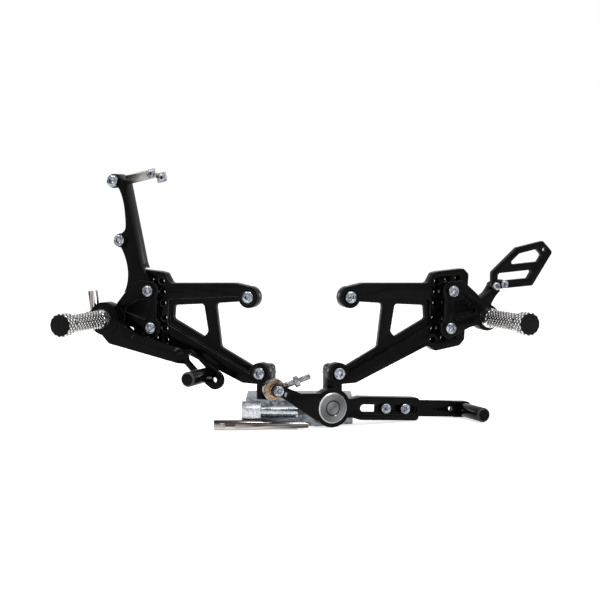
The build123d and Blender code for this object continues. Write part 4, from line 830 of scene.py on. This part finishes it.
# floor and lamps in metres and watts, and the camera's view in mm and degrees
studio = {"soft": 0.4, "white": 1.0, "floorHalf": 4.0, "paper": 0.8, "paperRough": 0.9, "glow": 0.7}
lamps = [  # name, place, aim, size, power
    ("topSoftbox", (0.1, -0.2, 1.5), (0, 0, 0.1), 0.45, 13.0),
    ("rightSoftbox", (1.3, -1.1, 1.0), (0, 0, 0.12), 0.4, 9.0),
    ("leftSoftbox", (-1.4, -0.9, 0.9), (0, 0, 0.12), 0.4, 4.0),
    ("rightRim", (1.3, 1.1, 0.35), (0, 0, 0.12), 0.5, 5.0),
    ("leftRim", (-1.3, 1.1, 0.35), (0, 0, 0.12), 0.5, 5.0),
]
view = {"distance": 1400.0, "rise": 4.5, "aim": (0.7, -27.5, 126.4), "width": 600.0, "sensor": 36.0}


def paleRays(tree):
    # camera, glossy and transmission rays all see the pale backdrop
    path = tree.nodes.new("ShaderNodeLightPath")
    seen = maths(tree, "MAXIMUM", path.outputs["Is Camera Ray"], path.outputs["Is Glossy Ray"])
    return maths(tree, "MAXIMUM", seen, path.outputs["Is Transmission Ray"])


def forPaleRays(tree, others, pale, output):
    # one shader for the pale rays and another for the rest
    mix = tree.nodes.new("ShaderNodeMixShader")
    wire(tree, (paleRays(tree), mix.inputs["Fac"]), (others, mix.inputs[1]), (pale, mix.inputs[2]),
         (mix.outputs[0], tree.nodes[output].inputs["Surface"]))


def whiteWorld():
    world = bpy.data.worlds.new("studio")
    scene.world = world
    world.use_nodes = True
    tree = world.node_tree
    soft = tree.nodes["Background"]
    white = tree.nodes.new("ShaderNodeBackground")
    for node, strength in ((soft, studio["soft"]), (white, studio["white"])):
        node.inputs["Color"].default_value = (1, 1, 1, 1)
        node.inputs["Strength"].default_value = strength
    forPaleRays(tree, soft.outputs[0], white.outputs[0], "World Output")


def paleFloor():
    half = studio["floorHalf"]
    mesh = bpy.data.meshes.new("floor")
    mesh.from_pydata([(-half, -half, 0), (half, -half, 0), (half, half, 0), (-half, half, 0)], [],
                     [(0, 1, 2, 3)])
    floor = bpy.data.objects.new("floor", mesh)
    scene.collection.objects.link(floor)
    paper = bpy.data.materials.new("paleFloor")
    paper.use_nodes = True
    tree = paper.node_tree
    sheet = tree.nodes["Principled BSDF"]
    grey = studio["paper"]
    sheet.inputs["Base Color"].default_value = (grey, grey, grey, 1)
    sheet.inputs["Roughness"].default_value = studio["paperRough"]
    sheet.inputs["Specular IOR Level"].default_value = 0.0
    glow = tree.nodes.new("ShaderNodeEmission")
    glow.inputs["Strength"].default_value = studio["glow"]
    lit = tree.nodes.new("ShaderNodeAddShader")
    wire(tree, (sheet.outputs[0], lit.inputs[0]), (glow.outputs[0], lit.inputs[1]))
    forPaleRays(tree, sheet.outputs[0], lit.outputs[0], "Material Output")
    mesh.materials.append(paper)
    return floor


def aimed(obj, place, aim):
    scene.collection.objects.link(obj)
    obj.location = place
    obj.rotation_euler = (aim - place).to_track_quat("-Z", "Y").to_euler()


whiteWorld()
floor = paleFloor()

for name, place, aim, size, power in lamps:
    light = bpy.data.lights.new(name, "AREA")
    light.shape = "SQUARE"
    light.size = size
    light.energy = power
    aimed(bpy.data.objects.new(name, light), Vector(place), Vector(aim))

lens = bpy.data.cameras.new("view")
lens.sensor_width = view["sensor"]
lens.lens = view["sensor"] * view["distance"] / view["width"]
camera = bpy.data.objects.new("view", lens)
centre = Vector(view["aim"]) * mm
sightLine = raised(Vector((0, -1, 0)), math.radians(view["rise"]))
aimed(camera, centre + sightLine * view["distance"] * mm, centre)
scene.camera = camera
scene.view_settings.view_transform = "Standard"
print("stage ready")
